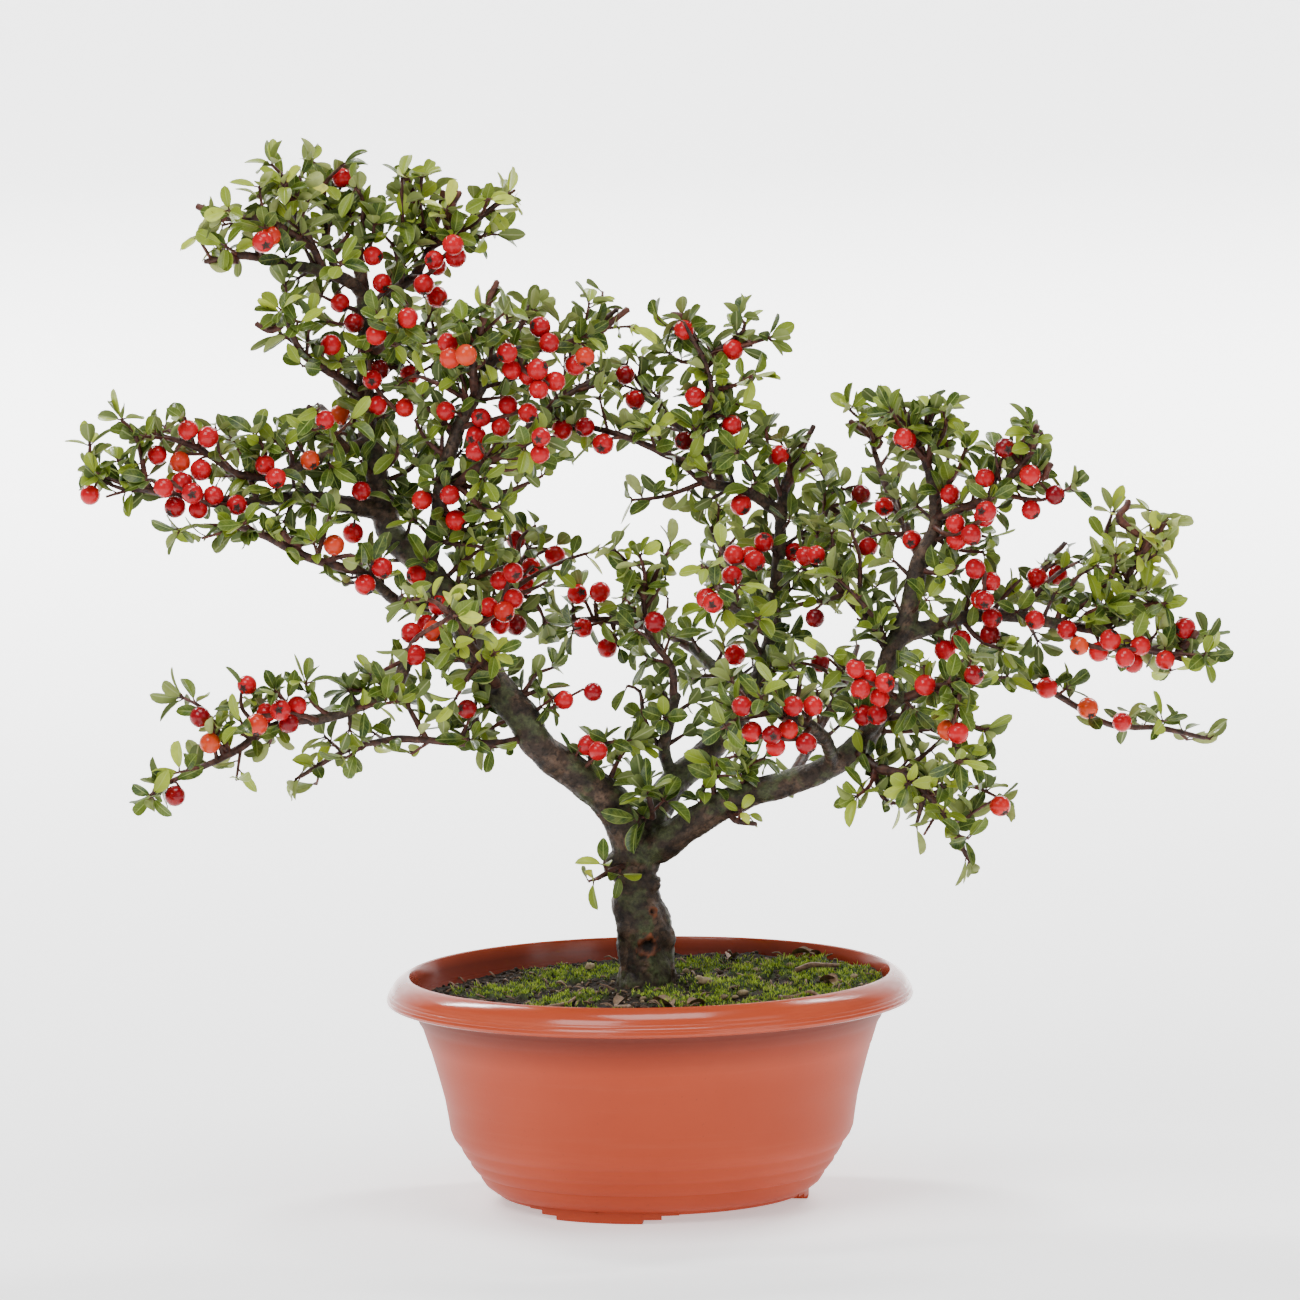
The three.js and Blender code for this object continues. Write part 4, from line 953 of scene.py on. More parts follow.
def is_unseen(root, along, length, key):
    """Whether a leaf would fill a gap of the crown, or hide a berry that the photograph shows."""
    for share in (0.45, 0.85):
        place = root + along * length * share
        pixel = photo_pixel(place)
        if is_gap(pixel):
            return True
        _, index, distance = BERRY_TREE.find((pixel.x, pixel.y, 0))
        if distance < BERRY_SHOWN and place.y < BERRY_CENTRES[index].y and draw(key, 85) < SHOWN_SHARE:
            return True
    return False


def shoots_of(stem, stem_key, shoots, reach):
    """The side shoots of a stem, one after another round it, and a last one that is the stem's own tip."""
    lines = []
    first_turn = TURN * draw(stem_key, STEM_TURN_DRAW)
    for j in range(shoots):
        place = min((SHOOT_START + SHOOT_SPAN * (j + 0.5) / shoots) * (len(stem) - 1), len(stem) - 1.0001)
        index = int(place)
        start, end = Vector(stem[index][:3]), Vector(stem[index + 1][:3])
        root = start.lerp(end, place - index)
        axis = (end - start).normalized()
        aim = sideways(axis, j * GOLDEN_ANGLE + first_turn)
        aim = (aim + axis * SHOOT_FORWARD + UP * SHOOT_UPWARD).normalized()
        length = reach * between(REACH_RANGE, stem_key, j)
        lines.append((stem_key * DRAWS_PER_STEM + j, root, root + aim * length, aim))
    before, end = Vector(stem[-2][:3]), Vector(stem[-1][:3])
    aim = (end - before).normalized()
    lines.append((stem_key * DRAWS_PER_STEM + TIP_DRAW, end - aim * TIP_SINK, end + aim * TIP_REACH, aim))
    return lines


def grow_whorl(leaves, key, top, aim):
    """The whorl at a shoot's top, each leaf where the solid model has it."""
    for i in range(WHORL_LEAVES):
        leaves.grow(
            top, aim,
            TURN * (i / WHORL_LEAVES + draw(key, WHORL_TURN_DRAW)),
            between(LIFT_RANGE, key, LIFT_DRAW + i),
            LEAF_LENGTH * between(LENGTH_RANGE, key, LENGTH_DRAW + i),
            LEAF_WIDTH * between(WIDTH_RANGE, key, WIDTH_DRAW + i),
            key * 7 + i,
        )


def grow_beside(leaves, key, root, top, aim):
    """Leaves along a shoot, each on the other side from the one before."""
    for i, share in enumerate(SIDE_LEAVES):
        leaves.grow(
            root.lerp(top, share), aim,
            GOLDEN_ANGLE * i + TURN * draw(key, 90),
            between(SIDE_LIFT, key, 91 + i),
            LEAF_LENGTH * between(SIDE_LENGTH, key, 94 + i),
            LEAF_WIDTH * between(SIDE_WIDTH, key, 97 + i),
            key * 7 + 3 + i,
        )


def grow_tuft(leaves, key, place, aim, count):
    """A few leaves and their bud from one point of a stem or limb."""
    for i in range(count):
        leaves.grow(
            place, aim,
            TURN * (i / count + draw(key, 101)),
            between(TUFT_LIFT, key, 102 + i),
            LEAF_LENGTH * between(TUFT_LENGTH, key, 106 + i),
            LEAF_WIDTH * between(TUFT_WIDTH, key, 110 + i),
            key * 7 + 200 + i,
        )


def leafy_spray(index, name, shoots, reach, stems):
    """One spray: its stems, side shoots and all its leaves."""
    shape = Shape()
    look = SPRAY_LOOKS.get(name, {})
    leaves = Leaves(look.get("tone", 0.5), look.get("size", 1.0))
    for stem_index, stem in enumerate(stems):
        stem_key = index * 2 + stem_index
        tube(shape, stem, 7, 2.5, TWIG_SLOT, (0.7, 0.2, draw(stem_key, 3)), 0.25, stem_key)
        for key, root, top, aim in shoots_of(stem, stem_key, shoots, reach):
            if is_gap(photo_pixel(top)) or is_gap(photo_pixel(root.lerp(top, 0.6))):
                continue
            before = len(leaves.rows)
            grow_whorl(leaves, key, top, aim)
            if not look.get("sparse"):
                grow_beside(leaves, key, root, top, aim)
            if len(leaves.rows) == before:
                continue
            route = three_points(root, top, SHOOT_RADII)
            tube(shape, route, 5, 3, TWIG_SLOT, (0.3, 0.5, draw(key, 4)), 0.25, key)
        points, radii, directions = curve_points(stem, STEM_LEAF_SPACING)
        for step, (point, radius, direction) in enumerate(zip(points, radii, directions)):
            if step == 0 or look.get("sparse"):
                continue
            key = stem_key * 31 + step
            aim = (sideways(direction, GOLDEN_ANGLE * step + TURN * draw(key, 5)) + UP * 0.5).normalized()
            place = point + aim * radius * 0.6
            grow_tuft(leaves, TUFT_KEYS + key, place, aim, 2 + round(draw(key, 6)))
    leafy_piece(f"leafy_{name}", shape, leaves, [f"spray_{name}"])


def leafy_spurs(index, name):
    """Short spurs with tufts of leaves along the leafy stretch of a limb."""
    first, last, count = SPUR_STRETCHES[name]
    points, radii, directions = curve_points(LIMBS[name], 2)
    shape = Shape()
    leaves = Leaves(0.42)
    for i in range(count):
        key = SPUR_KEYS + index * 60 + i
        at = round((first + (last - first) * (i + draw(key, 6)) / count) * (len(points) - 1))
        axis = directions[at]
        aim = (sideways(axis, GOLDEN_ANGLE * i + draw(key, 7)) + axis * 0.4 + UP * 0.35).normalized()
        root = points[at] + aim * radii[at] * 0.5
        top = root + aim * (radii[at] * 0.5 + between(SPUR_LENGTH, key, 8))
        route = three_points(root, top, SPUR_RADII)
        tube(shape, route, 5, 3, TWIG_SLOT, (0.8, 0.2, draw(key, 9)), 0.3, key)
        grow_tuft(leaves, key, top, aim, 4)
        if (top - root).length > LONG_SPUR:
            grow_tuft(leaves, key + 3000, root.lerp(top, 0.6), aim, 2)
    leafy_piece(f"spurs_{name}", shape, leaves)


def nearest_wood(pixel):
    """The place on the wood that is seen nearest to a pixel, the front one where several are."""
    spot = Vector(pixel)
    return min(WOOD_PLACES, key=lambda place: (photo_pixel(place) - spot).length + 0.1 * place.y)


def pixel_twigs(index, region):
    """Thin leafy twigs at their pixels of the photograph, each growing from the wood nearest to its foot."""
    shape = Shape()
    leaves = Leaves(0.5)
    for i, pixels in enumerate(TWIG_PIXELS[region]):
        key = TWIG_KEYS + index * 900 + i * 30
        start = nearest_wood(pixels[0])
        drift = between(TWIG_DRIFT, key, 160)
        route = [(*start, 1.2)]
        for step, pixel in enumerate(pixels[1:], 1):
            share = step / (len(pixels) - 1)
            route.append((*photo_place(pixel, start.y + drift * share), 1.1 - 0.5 * share))
        marks = (between((0.1, 0.7), key, 161), 0.2, draw(key, 162))
        tube(shape, route, 6, 2.5, TWIG_SLOT, marks, 0.3, key)
        points, radii, directions = curve_points(route, TWIG_LEAF_SPACING)
        for step, (point, radius, direction) in enumerate(zip(points, radii, directions)):
            if step == 0:
                continue
            out = sideways(direction, GOLDEN_ANGLE * step + TURN * draw(key, 163))
            aim = (out + direction * 0.5 + UP * 0.4).normalized()
            grow_tuft(leaves, key + step, point + aim * radius * 0.5, aim, 2)
        grow_tuft(leaves, key + 25, points[-1], directions[-1], 4)
    leafy_piece(f"twigs_{region}", shape, leaves)


def bare_tips():
    """Stubby twig ends that stand out past the leaves, at their pixels."""
    shape = Shape()
    for i, (foot, tip) in enumerate(TIP_PIXELS):
        start = nearest_wood(foot)
        middle = photo_place(foot, start.y - 1)
        end = photo_place(tip, start.y + between((-5, 3), i, 170))
        bend = middle.lerp(end, 0.55) + Vector((between((-1, 1), i, 171), 0, between((-1, 1), i, 172)))
        route = [(*place, radius) for place, radius in zip((start, middle, bend, end), TIP_RADII)]
        tube(shape, route, 8, 1.5, 0, (0.25, 0.5, 0), 0.4, i)
    piece("bare_tips", shape.mesh("bare_tips"), [TWIG])


def stalk_leaves():
    """A tuft of leaves where a long berry stalk leaves its twig."""
    shape = Shape()
    leaves = Leaves(0.45)
    for foot, aim, key in STALK_FEET:
        grow_tuft(leaves, STALK_KEYS + key, foot, (aim + UP * 0.4).normalized(), 3)
    leafy_piece("stalk_leaves", shape, leaves)


# Berries: how near a pixel is to a berry already there to be the same one, how the others lean, the
# longest stalk without a twig, and the degrees from the near end at which the rings of a berry lie
SAME_BERRY = 17
BERRY_LEAN = ((-0.9, 0.9), (-0.7, 0.9), (-0.9, 0))
LONG_STALK = 9
BERRY_POLES = (0, 9, 18, 28, 42, 60, 80, 100, 122, 144, 164, 180)
BERRY_SIDES = 16


def ball_template(rows, sides):
    """Corners and faces of a closed form, turned from rows of (radius, height, share) from pole to pole."""
    corners = [(0, *rows[0])]
    for radius, height, share in rows[1:-1]:
        for side in range(sides):
            turn = TURN * side / sides
            corners.append((radius * math.cos(turn), radius * math.sin(turn), height, share))
    corners.append((0, *rows[-1]))
    faces = []
    last = len(corners) - 1
    end = last - sides
    for side in range(sides):
        after = (side + 1) % sides
        faces.append((0, 1 + side, 1 + after))
        for low in range(1, end, sides):
            faces.append((low + side, low + sides + side, low + sides + after, low + after))
        faces.append((last, end + after, end + side))
    return np.array(corners), faces


def berry_rows():
    """The rows of a berry, with the dimple of its dry flower at the far end."""
    rows = []
    for degrees in BERRY_POLES:
        angle = math.radians(degrees)
        dimple = 0.2 * math.exp(-((angle / 0.26) ** 2))
        radius = 0 if degrees in (0, 180) else math.sin(angle)
        rows.append((radius, math.cos(angle) * 0.99 - dimple, degrees / 180))
    return rows


def ball_rows(rings):
    angles = [math.pi * ring / rings for ring in range(1, rings)]
    return [(0, 1, 0), *[(math.sin(angle), math.cos(angle), 0) for angle in angles], (0, -1, 0)]


BERRY_CORNERS, BERRY_FACES = ball_template(berry_rows(), BERRY_SIDES)
BALL_CORNERS, BALL_FACES = ball_template(ball_rows(8), 12)
GRAIN_CORNERS, GRAIN_FACES = ball_template(ball_rows(4), 6)
SEPAL_OUTLINE = ((0.05, 0, 0.82), (0.26, 0.13, 0.885), (0.5, 0, 0.87), (0.26, -0.13, 0.885))
SEPAL_FACES = [
    (0, 1, 2), (0, 2, 3), (4, 6, 5), (4, 7, 6),
    (0, 4, 5, 1), (1, 5, 6, 2), (2, 6, 7, 3), (3, 7, 4, 0),
]
SEPALS = 5


def add_berry(shape, centre, axis, key):
    """A berry with five dry sepals folded over the dimple at its far end."""
    radius = BERRY_RADIUS * between((0.9, 1.03), key, 120)
    first = sideways(axis, TURN * draw(key, 121))
    second = axis.cross(first)
    frame_axes = np.array([first, second, axis])
    points = BERRY_CORNERS[:, :3] * radius
    lumps = [1 + 0.03 * noise.noise(Vector(point) * 0.5 + Vector((key, 0, 0))) for point in points]
    points = (points * np.array(lumps)[:, None]) @ frame_axes + np.array(centre)
    marks = [(share, draw(key, 122), 0.5) for share in BERRY_CORNERS[:, 3]]
    shape.add(points, BERRY_FACES, 0, marks)
    for i in range(SEPALS):
        turn = TURN * (i + 0.3 * draw(key, 123 + i)) / SEPALS
        corners = []
        for lift in (0.035, -0.05):
            for forward, sidewards, height in SEPAL_OUTLINE:
                x = forward * math.cos(turn) - sidewards * math.sin(turn)
                y = forward * math.sin(turn) + sidewards * math.cos(turn)
                corners.append(Vector(centre) + (first * x + second * y + axis * (height + lift)) * radius)
        shape.add([tuple(corner) for corner in corners], SEPAL_FACES, 1, (0, 0, draw(key, 130)))


def add_stalk(shape, carrier, centre, axis, key):
    """A thin stalk from what carries the berry to the middle of its near end."""
    near = centre - axis * BERRY_RADIUS * 0.9
    middle = carrier.lerp(near, 0.5) + Vector((0, 0, between((0.2, 1.2), key, 131)))
    if (near - carrier).length > LONG_STALK:
        foot = carrier.lerp(middle, 0.9)
        twig = three_points(carrier, foot, BERRY_TWIG_RADII)
        tube(shape, twig, 6, 2, TWIG_SLOT, (0.5, 0.5, 0), 0.3, key)
        STALK_FEET.append((foot, (foot - carrier).normalized(), key))
    route = [(*place, radius) for place, radius in zip((carrier, middle, near), BERRY_STALK_RADII)]
    tube(shape, route, 5, 2, TWIG_SLOT, (0.2, 0.5, draw(key, 132)), 0.2, key)


def bunch_berries(index, stalk, count):
    """Centre, direction and carrying point of each berry of a bunch, where the solid model has it."""
    route = [(*point, radius) for point, radius in zip(stalk, STALK_RADII)]
    points, _, directions = curve_points(route, 0.5)
    first_turn = TURN * draw(index, BUNCH_TURN_DRAW)
    found = []
    for i in range(count):
        at = round((BERRY_START + (1 - BERRY_START) * i / (count - 1)) * (len(points) - 1))
        aim = sideways(directions[at], i * GOLDEN_ANGLE + first_turn)
        aim = (aim + directions[at] * BERRY_FORWARD).normalized()
        found.append((points[at] + aim * (BERRY_RADIUS - BERRY_SINK), aim, points[at]))
    return route, found


def seen_berries(known):
    """Berries at their pixels of the photograph beside the known ones, each hung from the nearest stem."""
    carriers = []
    for stem in all_stems():
        points, radii, _ = curve_points(stem, 3)
        carriers.extend(zip(points, radii))
    taken = set()
    everywhere = [(region, pixel) for region, pixels in BERRY_PIXELS.items() for pixel in pixels]
    for centre in known:
        spot = photo_pixel(centre)
        free = [item for item in everywhere if item not in taken]
        nearest = min(free, key=lambda item: (Vector(item[1]) - spot).length)
        if (Vector(nearest[1]) - spot).length < SAME_BERRY:
            taken.add(nearest)
    centres = list(known)
    found = {}
    for key, (region, pixel) in enumerate(everywhere):
        if (region, pixel) in taken:
            continue
        carrier, radius = min(carriers, key=lambda item: (
            (photo_place(pixel, item[0].y) - item[0]).length + 0.06 * (item[0].y + 60)
        ))
        gap = (photo_place(pixel, carrier.y) - carrier).length
        forward = math.sqrt(max((BERRY_RADIUS + radius + 2) ** 2 - gap**2, 4))
        centre = photo_place(pixel, carrier.y - forward)
        while any((centre - other).length < 1.9 * BERRY_RADIUS for other in centres):
            centre = photo_place(pixel, centre.y - 3)
        centres.append(centre)
        lean = Vector([between(reach, key, 140 + i) for i, reach in enumerate(BERRY_LEAN)])
        axis = ((centre - carrier).normalized() * 0.35 + lean).normalized()
        found.setdefault(region, []).append((centre, axis, carrier, BERRY_KEYS + key))
    return found


def all_stems():
    stems = list(LIMBS.values())
    for _, _, routes in SPRAYS.values():
        stems.extend(routes)
    return stems


# Cut scars of the wood, at the pixel, depth and radius of each, and grooves at the pixel rows that show them
SCAR_PIXELS = [
    ((648, 946), -10.5, 3.9), ((653, 911), -9, 2), ((361, 265), 18, 3), ((628, 309), -4, 2.5),
    ((627, 846), -10, 2.6),
]
SCARS = [(photo_place(pixel, depth), radius) for pixel, depth, radius in SCAR_PIXELS]
GROOVE_ROWS = (867, 877, 885)
GROOVES = [photo_place((640, row), -9).z for row in GROOVE_ROWS]


def wood_mesh():
    """Trunk and limbs grown together as one skin, roughened as bark, with moss where it is damp."""
    shape = Shape()
    samples = []
    for route in LIMBS.values():
        tube(shape, route, 14, 2)
        samples.extend((*sample, run) for run, sample in enumerate(zip(*curve_points(route, 1))))
    for place, radius in KNOTS:
        add_ball(shape, place, radius)
    source = shape.mesh("wood_source")
    carrier = bpy.data.objects.new("wood_source", source)
    bpy.context.scene.collection.objects.link(carrier)
    remesh = carrier.modifiers.new("Remesh", "REMESH")
    remesh.mode = "VOXEL"
    remesh.voxel_size = BARK_VOXEL * MM
    soften = carrier.modifiers.new("Smooth", "SMOOTH")
    soften.iterations = 3
    depsgraph = bpy.context.evaluated_depsgraph_get()
    mesh = bpy.data.meshes.new_from_object(carrier.evaluated_get(depsgraph))
    bpy.data.objects.remove(carrier)
    tree = search_tree([sample[0] for sample in samples])
    count = len(mesh.vertices)
    places = np.empty(count * 3)
    mesh.vertices.foreach_get("co", places)
    places = places.reshape(-1, 3) / MM + (MIDDLE_X, 0, 0)
    normals = np.array([tuple(vertex.normal) for vertex in mesh.vertices])
    marks = np.zeros((count, 3))
    for index in range(count):
        place, normal = Vector(places[index]), Vector(normals[index])
        _, nearest, _ = tree.find(place)
        point, radius, direction, run = samples[nearest]
        out = (place - point) / max(radius, 1)
        grain = noise.noise(Vector((out.x * 2.6, out.y * 2.6, out.z * 2.6 + run * 0.05)))
        ridges = abs(noise.noise(place * 0.35 + direction * (-0.28 * place.dot(direction))))
        lumps = noise.noise(place * 0.13)
        fine = noise.noise(place * 0.7)
        rise = min(radius, 9) * (0.05 * grain + 0.11 * lumps + 0.07 * (0.35 - ridges)) + 0.22 * fine
        places[index] += np.array(normal) * rise
        low = 1 - smooth(place.z, 150, 300)
        damp = noise.noise(place * 0.11 + Vector((7, 3, 1))) + 0.45 * noise.noise(place * 0.4)
        reach = min((place - middle).length / size for middle, size in SCARS) * (1 + 0.5 * fine) + 0.3 * lumps
        rim = smooth(reach, 0.45, 0.7) * (1 - smooth(reach, 0.9, 1.15))
        hollow = 1 - smooth(reach, 0.4, 0.75)
        places[index] += np.array(normal) * (0.5 * rim - 1.6 * hollow)
        if abs(place.x) < 14:
            nearness = min(abs(place.z + 0.5 * lumps - height) for height in GROOVES)
            places[index] -= np.array(normal) * 0.5 * (1 - smooth(nearness, 0.2, 0.8))
        moss = smooth(damp + 0.35 * low + 0.15 * normal.z, 0.25, 0.6) * (1 - max(rim, hollow))
        # The second mark falls towards nought in the bark's cracks and in the hollows of cut scars, where the
        # bark material paints shade.
        marks[index] = (moss, smooth(ridges, 0.02, 0.2) * (1 - 0.9 * hollow), rim)
    places = (places - (MIDDLE_X, 0, 0)) * MM
    mesh.vertices.foreach_set("co", places.ravel())
    set_marks(mesh, marks)
    return mesh


def add_ball(shape, place, radius):
    shape.add(BALL_CORNERS[:, :3] * radius + np.array(place), BALL_FACES)


# Soil and what lies on it


def inside_radius(height):
    for (upper, top), (lower, low) in zip(POT_INSIDE, POT_INSIDE[1:]):
        if low <= height <= top:
            return lower + (upper - lower) * (height - low) / (top - low)
    return POT_INSIDE[-1][0]


def mound(x, y):
    near_trunk = math.exp(-(x * x + y * y) / SOIL_SPREAD**2)
    bumps = 0.5 * math.sin(x / 9 + 1) * math.cos(y / 8) + 0.4 * math.sin((x + y) / 13)
    return SOIL_LEVEL + SOIL_RISE * near_trunk + SOIL_TILT * x / POT_RADIUS + bumps


def mossiness(x, y):
    """How mossy the soil is at a place, from 0 to 1."""
    ragged = 0.6 * noise.noise(Vector((x * 0.12, y * 0.12, 4)))
    ragged += 0.45 * noise.noise(Vector((x * 0.4, y * 0.4, 9)))
    bare = smooth(noise.noise(Vector((x * 0.26, y * 0.16, 2))), 0.12, 0.34)
    best = 0
    for middle_x, middle_y, radius in MOSS_PATCHES:
        reach = math.hypot(x - middle_x, y - middle_y) / radius
        best = max(best, smooth(1.12 - reach + ragged, 0, 0.4))
    return best * (1 - 0.85 * bare)


def soil_height(x, y):
    place = Vector((x, y, 0))
    crumbs = noise.noise(place * 0.16) + 0.8 * abs(noise.noise(place * 0.45))
    crumbs += 0.35 * noise.noise(place * 1.3)
    clumps = 1.2 + 2.4 * noise.noise(Vector((x * 0.2, y * 0.2, 6)))
    return mound(x, y) + crumbs + clumps * mossiness(x, y)


def soil_edge(angle):
    return inside_radius(SOIL_LEVEL + SOIL_TILT * math.cos(angle)) - 0.4


def soil_mesh():
    """The whole body of soil, its top crumbly, its sides along the pot's wall."""
    points, marks = [], []
    for ring in range(SOIL_RINGS + 1):
        for side in range(SOIL_SIDES):
            angle = TURN * side / SOIL_SIDES
            radius = max(soil_edge(angle) * ring / SOIL_RINGS, 0.4)
            x, y = radius * math.cos(angle), radius * math.sin(angle)
            height = mound(x, y) - 1 if ring == SOIL_RINGS else soil_height(x, y)
            points.append((x, y, height))
            marks.append((mossiness(x, y), 0, 0))
    for height, radius in SOIL_WALL:
        for side in range(SOIL_SIDES):
            angle = TURN * side / SOIL_SIDES
            points.append((radius * math.cos(angle), radius * math.sin(angle), height))
            marks.append((0, 0, 0))
    faces = capped_faces(len(points) // SOIL_SIDES, SOIL_SIDES)
    shape = Shape()
    shape.add(points, [(face[0], *face[:0:-1]) for face in faces], 0, marks)
    return shape.mesh("soil")


def scatter(count, key, keep):
    """Places on the soil by a seeded rule, kept where a test allows them."""
    found = []
    for i in range(count):
        angle = TURN * draw(i * 0.37 + key, 1)
        radius = (soil_edge(angle) - 2) * math.sqrt(draw(i * 0.37 + key, 2))
        x, y = radius * math.cos(angle), radius * math.sin(angle)
        if math.hypot(x + 1, y) > TRUNK_CLEARANCE and keep(x, y, i):
            found.append((x, y, i))
    return found


def moss_mesh():
    """Moss as a great many short leaning spikes."""
    shape = Shape()
    points, faces, marks = [], [], []
    for x, y, i in scatter(MOSS_SPIKES, 11, lambda x, y, i: mossiness(x, y) > 0.25 + 0.5 * draw(i, 12)):
        base = Vector((x, y, soil_height(x, y) - 0.4))
        lean = Vector((between((-0.7, 0.7), i, 13), between((-0.7, 0.7), i, 14), 1))
        clump = 0.5 + 0.9 * noise.noise(Vector((x * 0.3, y * 0.3, 14)))
        tip = base + lean.normalized() * between(SPIKE_LENGTH, i, 15) * (0.7 + clump)
        bright = min(max(0.45 * draw(i, 18) + 0.8 * clump - 0.1, 0), 1)
        start = len(points)
        width = between(SPIKE_WIDTH, i, 16)
        for corner in range(3):
            turn = TURN * (corner / 3 + draw(i, 17))
            points.append((base.x + width * math.cos(turn), base.y + width * math.sin(turn), base.z))
            marks.append((0, bright, 0))
        points.append(tuple(tip))
        marks.append((1, bright, 0))
        faces.extend([
            (start, start + 1, start + 3), (start + 1, start + 2, start + 3), (start + 2, start, start + 3),
            (start, start + 2, start + 1),
        ])
    shape.add(points, faces, 0, marks)
    return shape.mesh("moss")


def ground_place(pixel):
    """Where on the soil a pixel of the photograph lies."""
    places = [photo_place(pixel, depth) for depth in range(-84, 85, 2)]
    return min(places, key=lambda place: abs(place.z - soil_height(place.x, place.y)))


def grains_mesh():
    """Crumbs of soil and grit, and the pale pebbles at their pixels."""
    shape = Shape()
    grains = [(x, y, i, 0) for x, y, i in scatter(GRAINS, 31, lambda x, y, i: mossiness(x, y) < 0.6)]
    for i, (pixel_x, pixel_y, size) in enumerate(PEBBLE_PIXELS):
        place = ground_place((pixel_x, pixel_y))
        grains.append((place.x, place.y, PEBBLE_KEYS + i, size))
    for x, y, i, pebble in grains:
        size = pebble or between(GRAIN_SIZE, i, 33)
        corners, faces = (BALL_CORNERS, BALL_FACES) if pebble else (GRAIN_CORNERS, GRAIN_FACES)
        corners = corners[:, :3]
        stretch = np.array([between(limits, i, 34 + axis) for axis, limits in enumerate(GRAIN_STRETCH)])
        lumps = [1 + 0.3 * noise.noise(Vector(corner) * 1.4 + Vector((i, 0, 0))) for corner in corners]
        points = corners * stretch * size * np.array(lumps)[:, None]
        turn = np.array(Matrix.Rotation(TURN * draw(i, 37), 3, "Z")).T
        rise = size * (0.7 if pebble else 0.15)
        points = points @ turn + np.array((x, y, soil_height(x, y) + rise))
        shape.add(points, faces, 1 if pebble or draw(i, 38) > 0.93 else 0, (draw(i, 39), draw(i, 40), 0))
    return shape.mesh("grains")


def litter_mesh():
    """Twigs and curled dead leaves lying on the soil."""
    shape = Shape()
    for i, (x, y, angle, length) in enumerate(LITTER_TWIGS):
        run = Vector((math.cos(math.radians(angle)), math.sin(math.radians(angle)), 0))
        route = []
        for step in range(5):
            place = Vector((x, y, 0)) + run * length * (step / 4 - 0.5)
            place += Vector((-run.y, run.x, 0)) * math.sin(step * 1.7 + i) * length * 0.04
            route.append((place.x, place.y, soil_height(place.x, place.y) + 1.5, 1.2 - 0.13 * step))
        tube(shape, route, 7, 2, 0, (0.5, 0.5, draw(i, 41)), 0.3, i)
    for x, y, i in scatter(LITTER_BITS, 51, lambda x, y, i: draw(i, 52) > 0.7 * mossiness(x, y)):
        turn = TURN * draw(i, 53)
        reach = between(BIT_LENGTH, i, 54)
        rise = between((0.1, 0.5), i, 55)
        start = Vector((x, y, soil_height(x, y) + 0.3))
        end = start + Vector((math.cos(turn), math.sin(turn), rise)) * reach
        middle = start.lerp(end, 0.5) + Vector((0, 0, 0.25 * reach * draw(i, 56)))
        width = between(BIT_WIDTH, i, 57)
        route = [(*start, width), (*middle, width), (*end, width * 0.6)]
        tube(shape, route, 5, 1.5, 0, (0.5, 0.5, draw(i, 58)), 0.3, i)
    leaves = Leaves(0.5, 1.25)
    for i, (x, y, turn) in enumerate(LITTER_LEAVES):
        root = (x, y, soil_height(x, y) + 1.6)
        along = Vector((math.cos(turn), math.sin(turn), 0.25)).normalized()
        across = (-math.sin(turn), math.cos(turn), 0)
        form = (between(DEAD_LEAF_LENGTH, i, 43), DEAD_LEAF_WIDTH, 0.9, 0.4, draw(i, 42), 0.3)
        leaves.rows.append((root, tuple(along), across, form))
    leaves.fill(shape, 1, 1, 0)
    return shape.mesh("litter")


# Pot


# How much painted shade the first rings of the lip get, from its underside outwards
LIP_SHADE = {0: 1, 1: 1, 2: 0.9, 3: 0.5, 4: 0.2}


def pot_marks(ring, height):
    """How polished a ring of the pot is, how much painted shade it gets under the lip, and how far inside it
    is, where it gets painted shade as well.
    """
    painted_lip_shade = smooth(height, 60, 74) if ring < LIP_RING else LIP_SHADE.get(ring - LIP_RING, 0)
    return (smooth(height, 74, 78), painted_lip_shade, 1 if ring >= INNER_RING else 0)


def pot_mesh():
    """The turned pot with its stepped feet."""
    shape = Shape()
    points = []
    for radius, height in POT_PROFILE:
        for side in range(POT_SEGMENTS):
            angle = TURN * side / POT_SEGMENTS
            points.append((max(radius, 0.05) * math.cos(angle), max(radius, 0.05) * math.sin(angle), height))
    marks = []
    for ring, (_, height) in enumerate(POT_PROFILE):
        marks += [pot_marks(ring, height)] * POT_SEGMENTS
    shape.add(points, capped_faces(len(POT_PROFILE), POT_SEGMENTS), 0, marks)
    for middle in FOOT_MIDDLES:
        for bottom, half_span in FOOT_STEPS:
            add_foot(shape, middle, bottom, half_span)
    return shape.mesh("pot")


def add_foot(shape, middle, bottom, half_span):
    steps = round(half_span)
    section = (
        (FOOT_INNER, FOOT_TOP), (FOOT_INNER, bottom + 0.3), (FOOT_INNER + 0.3, bottom),
        (FOOT_OUTER - 0.5, bottom), (FOOT_OUTER - 0.1, bottom + 0.15), (FOOT_OUTER, bottom + 0.5),
        (FOOT_OUTER, FOOT_TOP),
    )
    points = []
    for step in range(steps + 1):
        angle = math.radians(middle - 90 - half_span + 2 * half_span * step / steps)
        points += [(radius * math.cos(angle), radius * math.sin(angle), height) for radius, height in section]
    shape.add(points, capped_faces(steps + 1, len(section)))


# Materials


# The sockets of a colour mix, which share their names with those of other mixes
MIX_FACTOR, MIX_FIRST, MIX_SECOND = 0, 6, 7


def with_alpha(colour):
    """A colour with its alpha, from three channels, or from one number for a grey."""
    return (*colour, 1) if isinstance(colour, tuple) else (colour, colour, colour, 1)


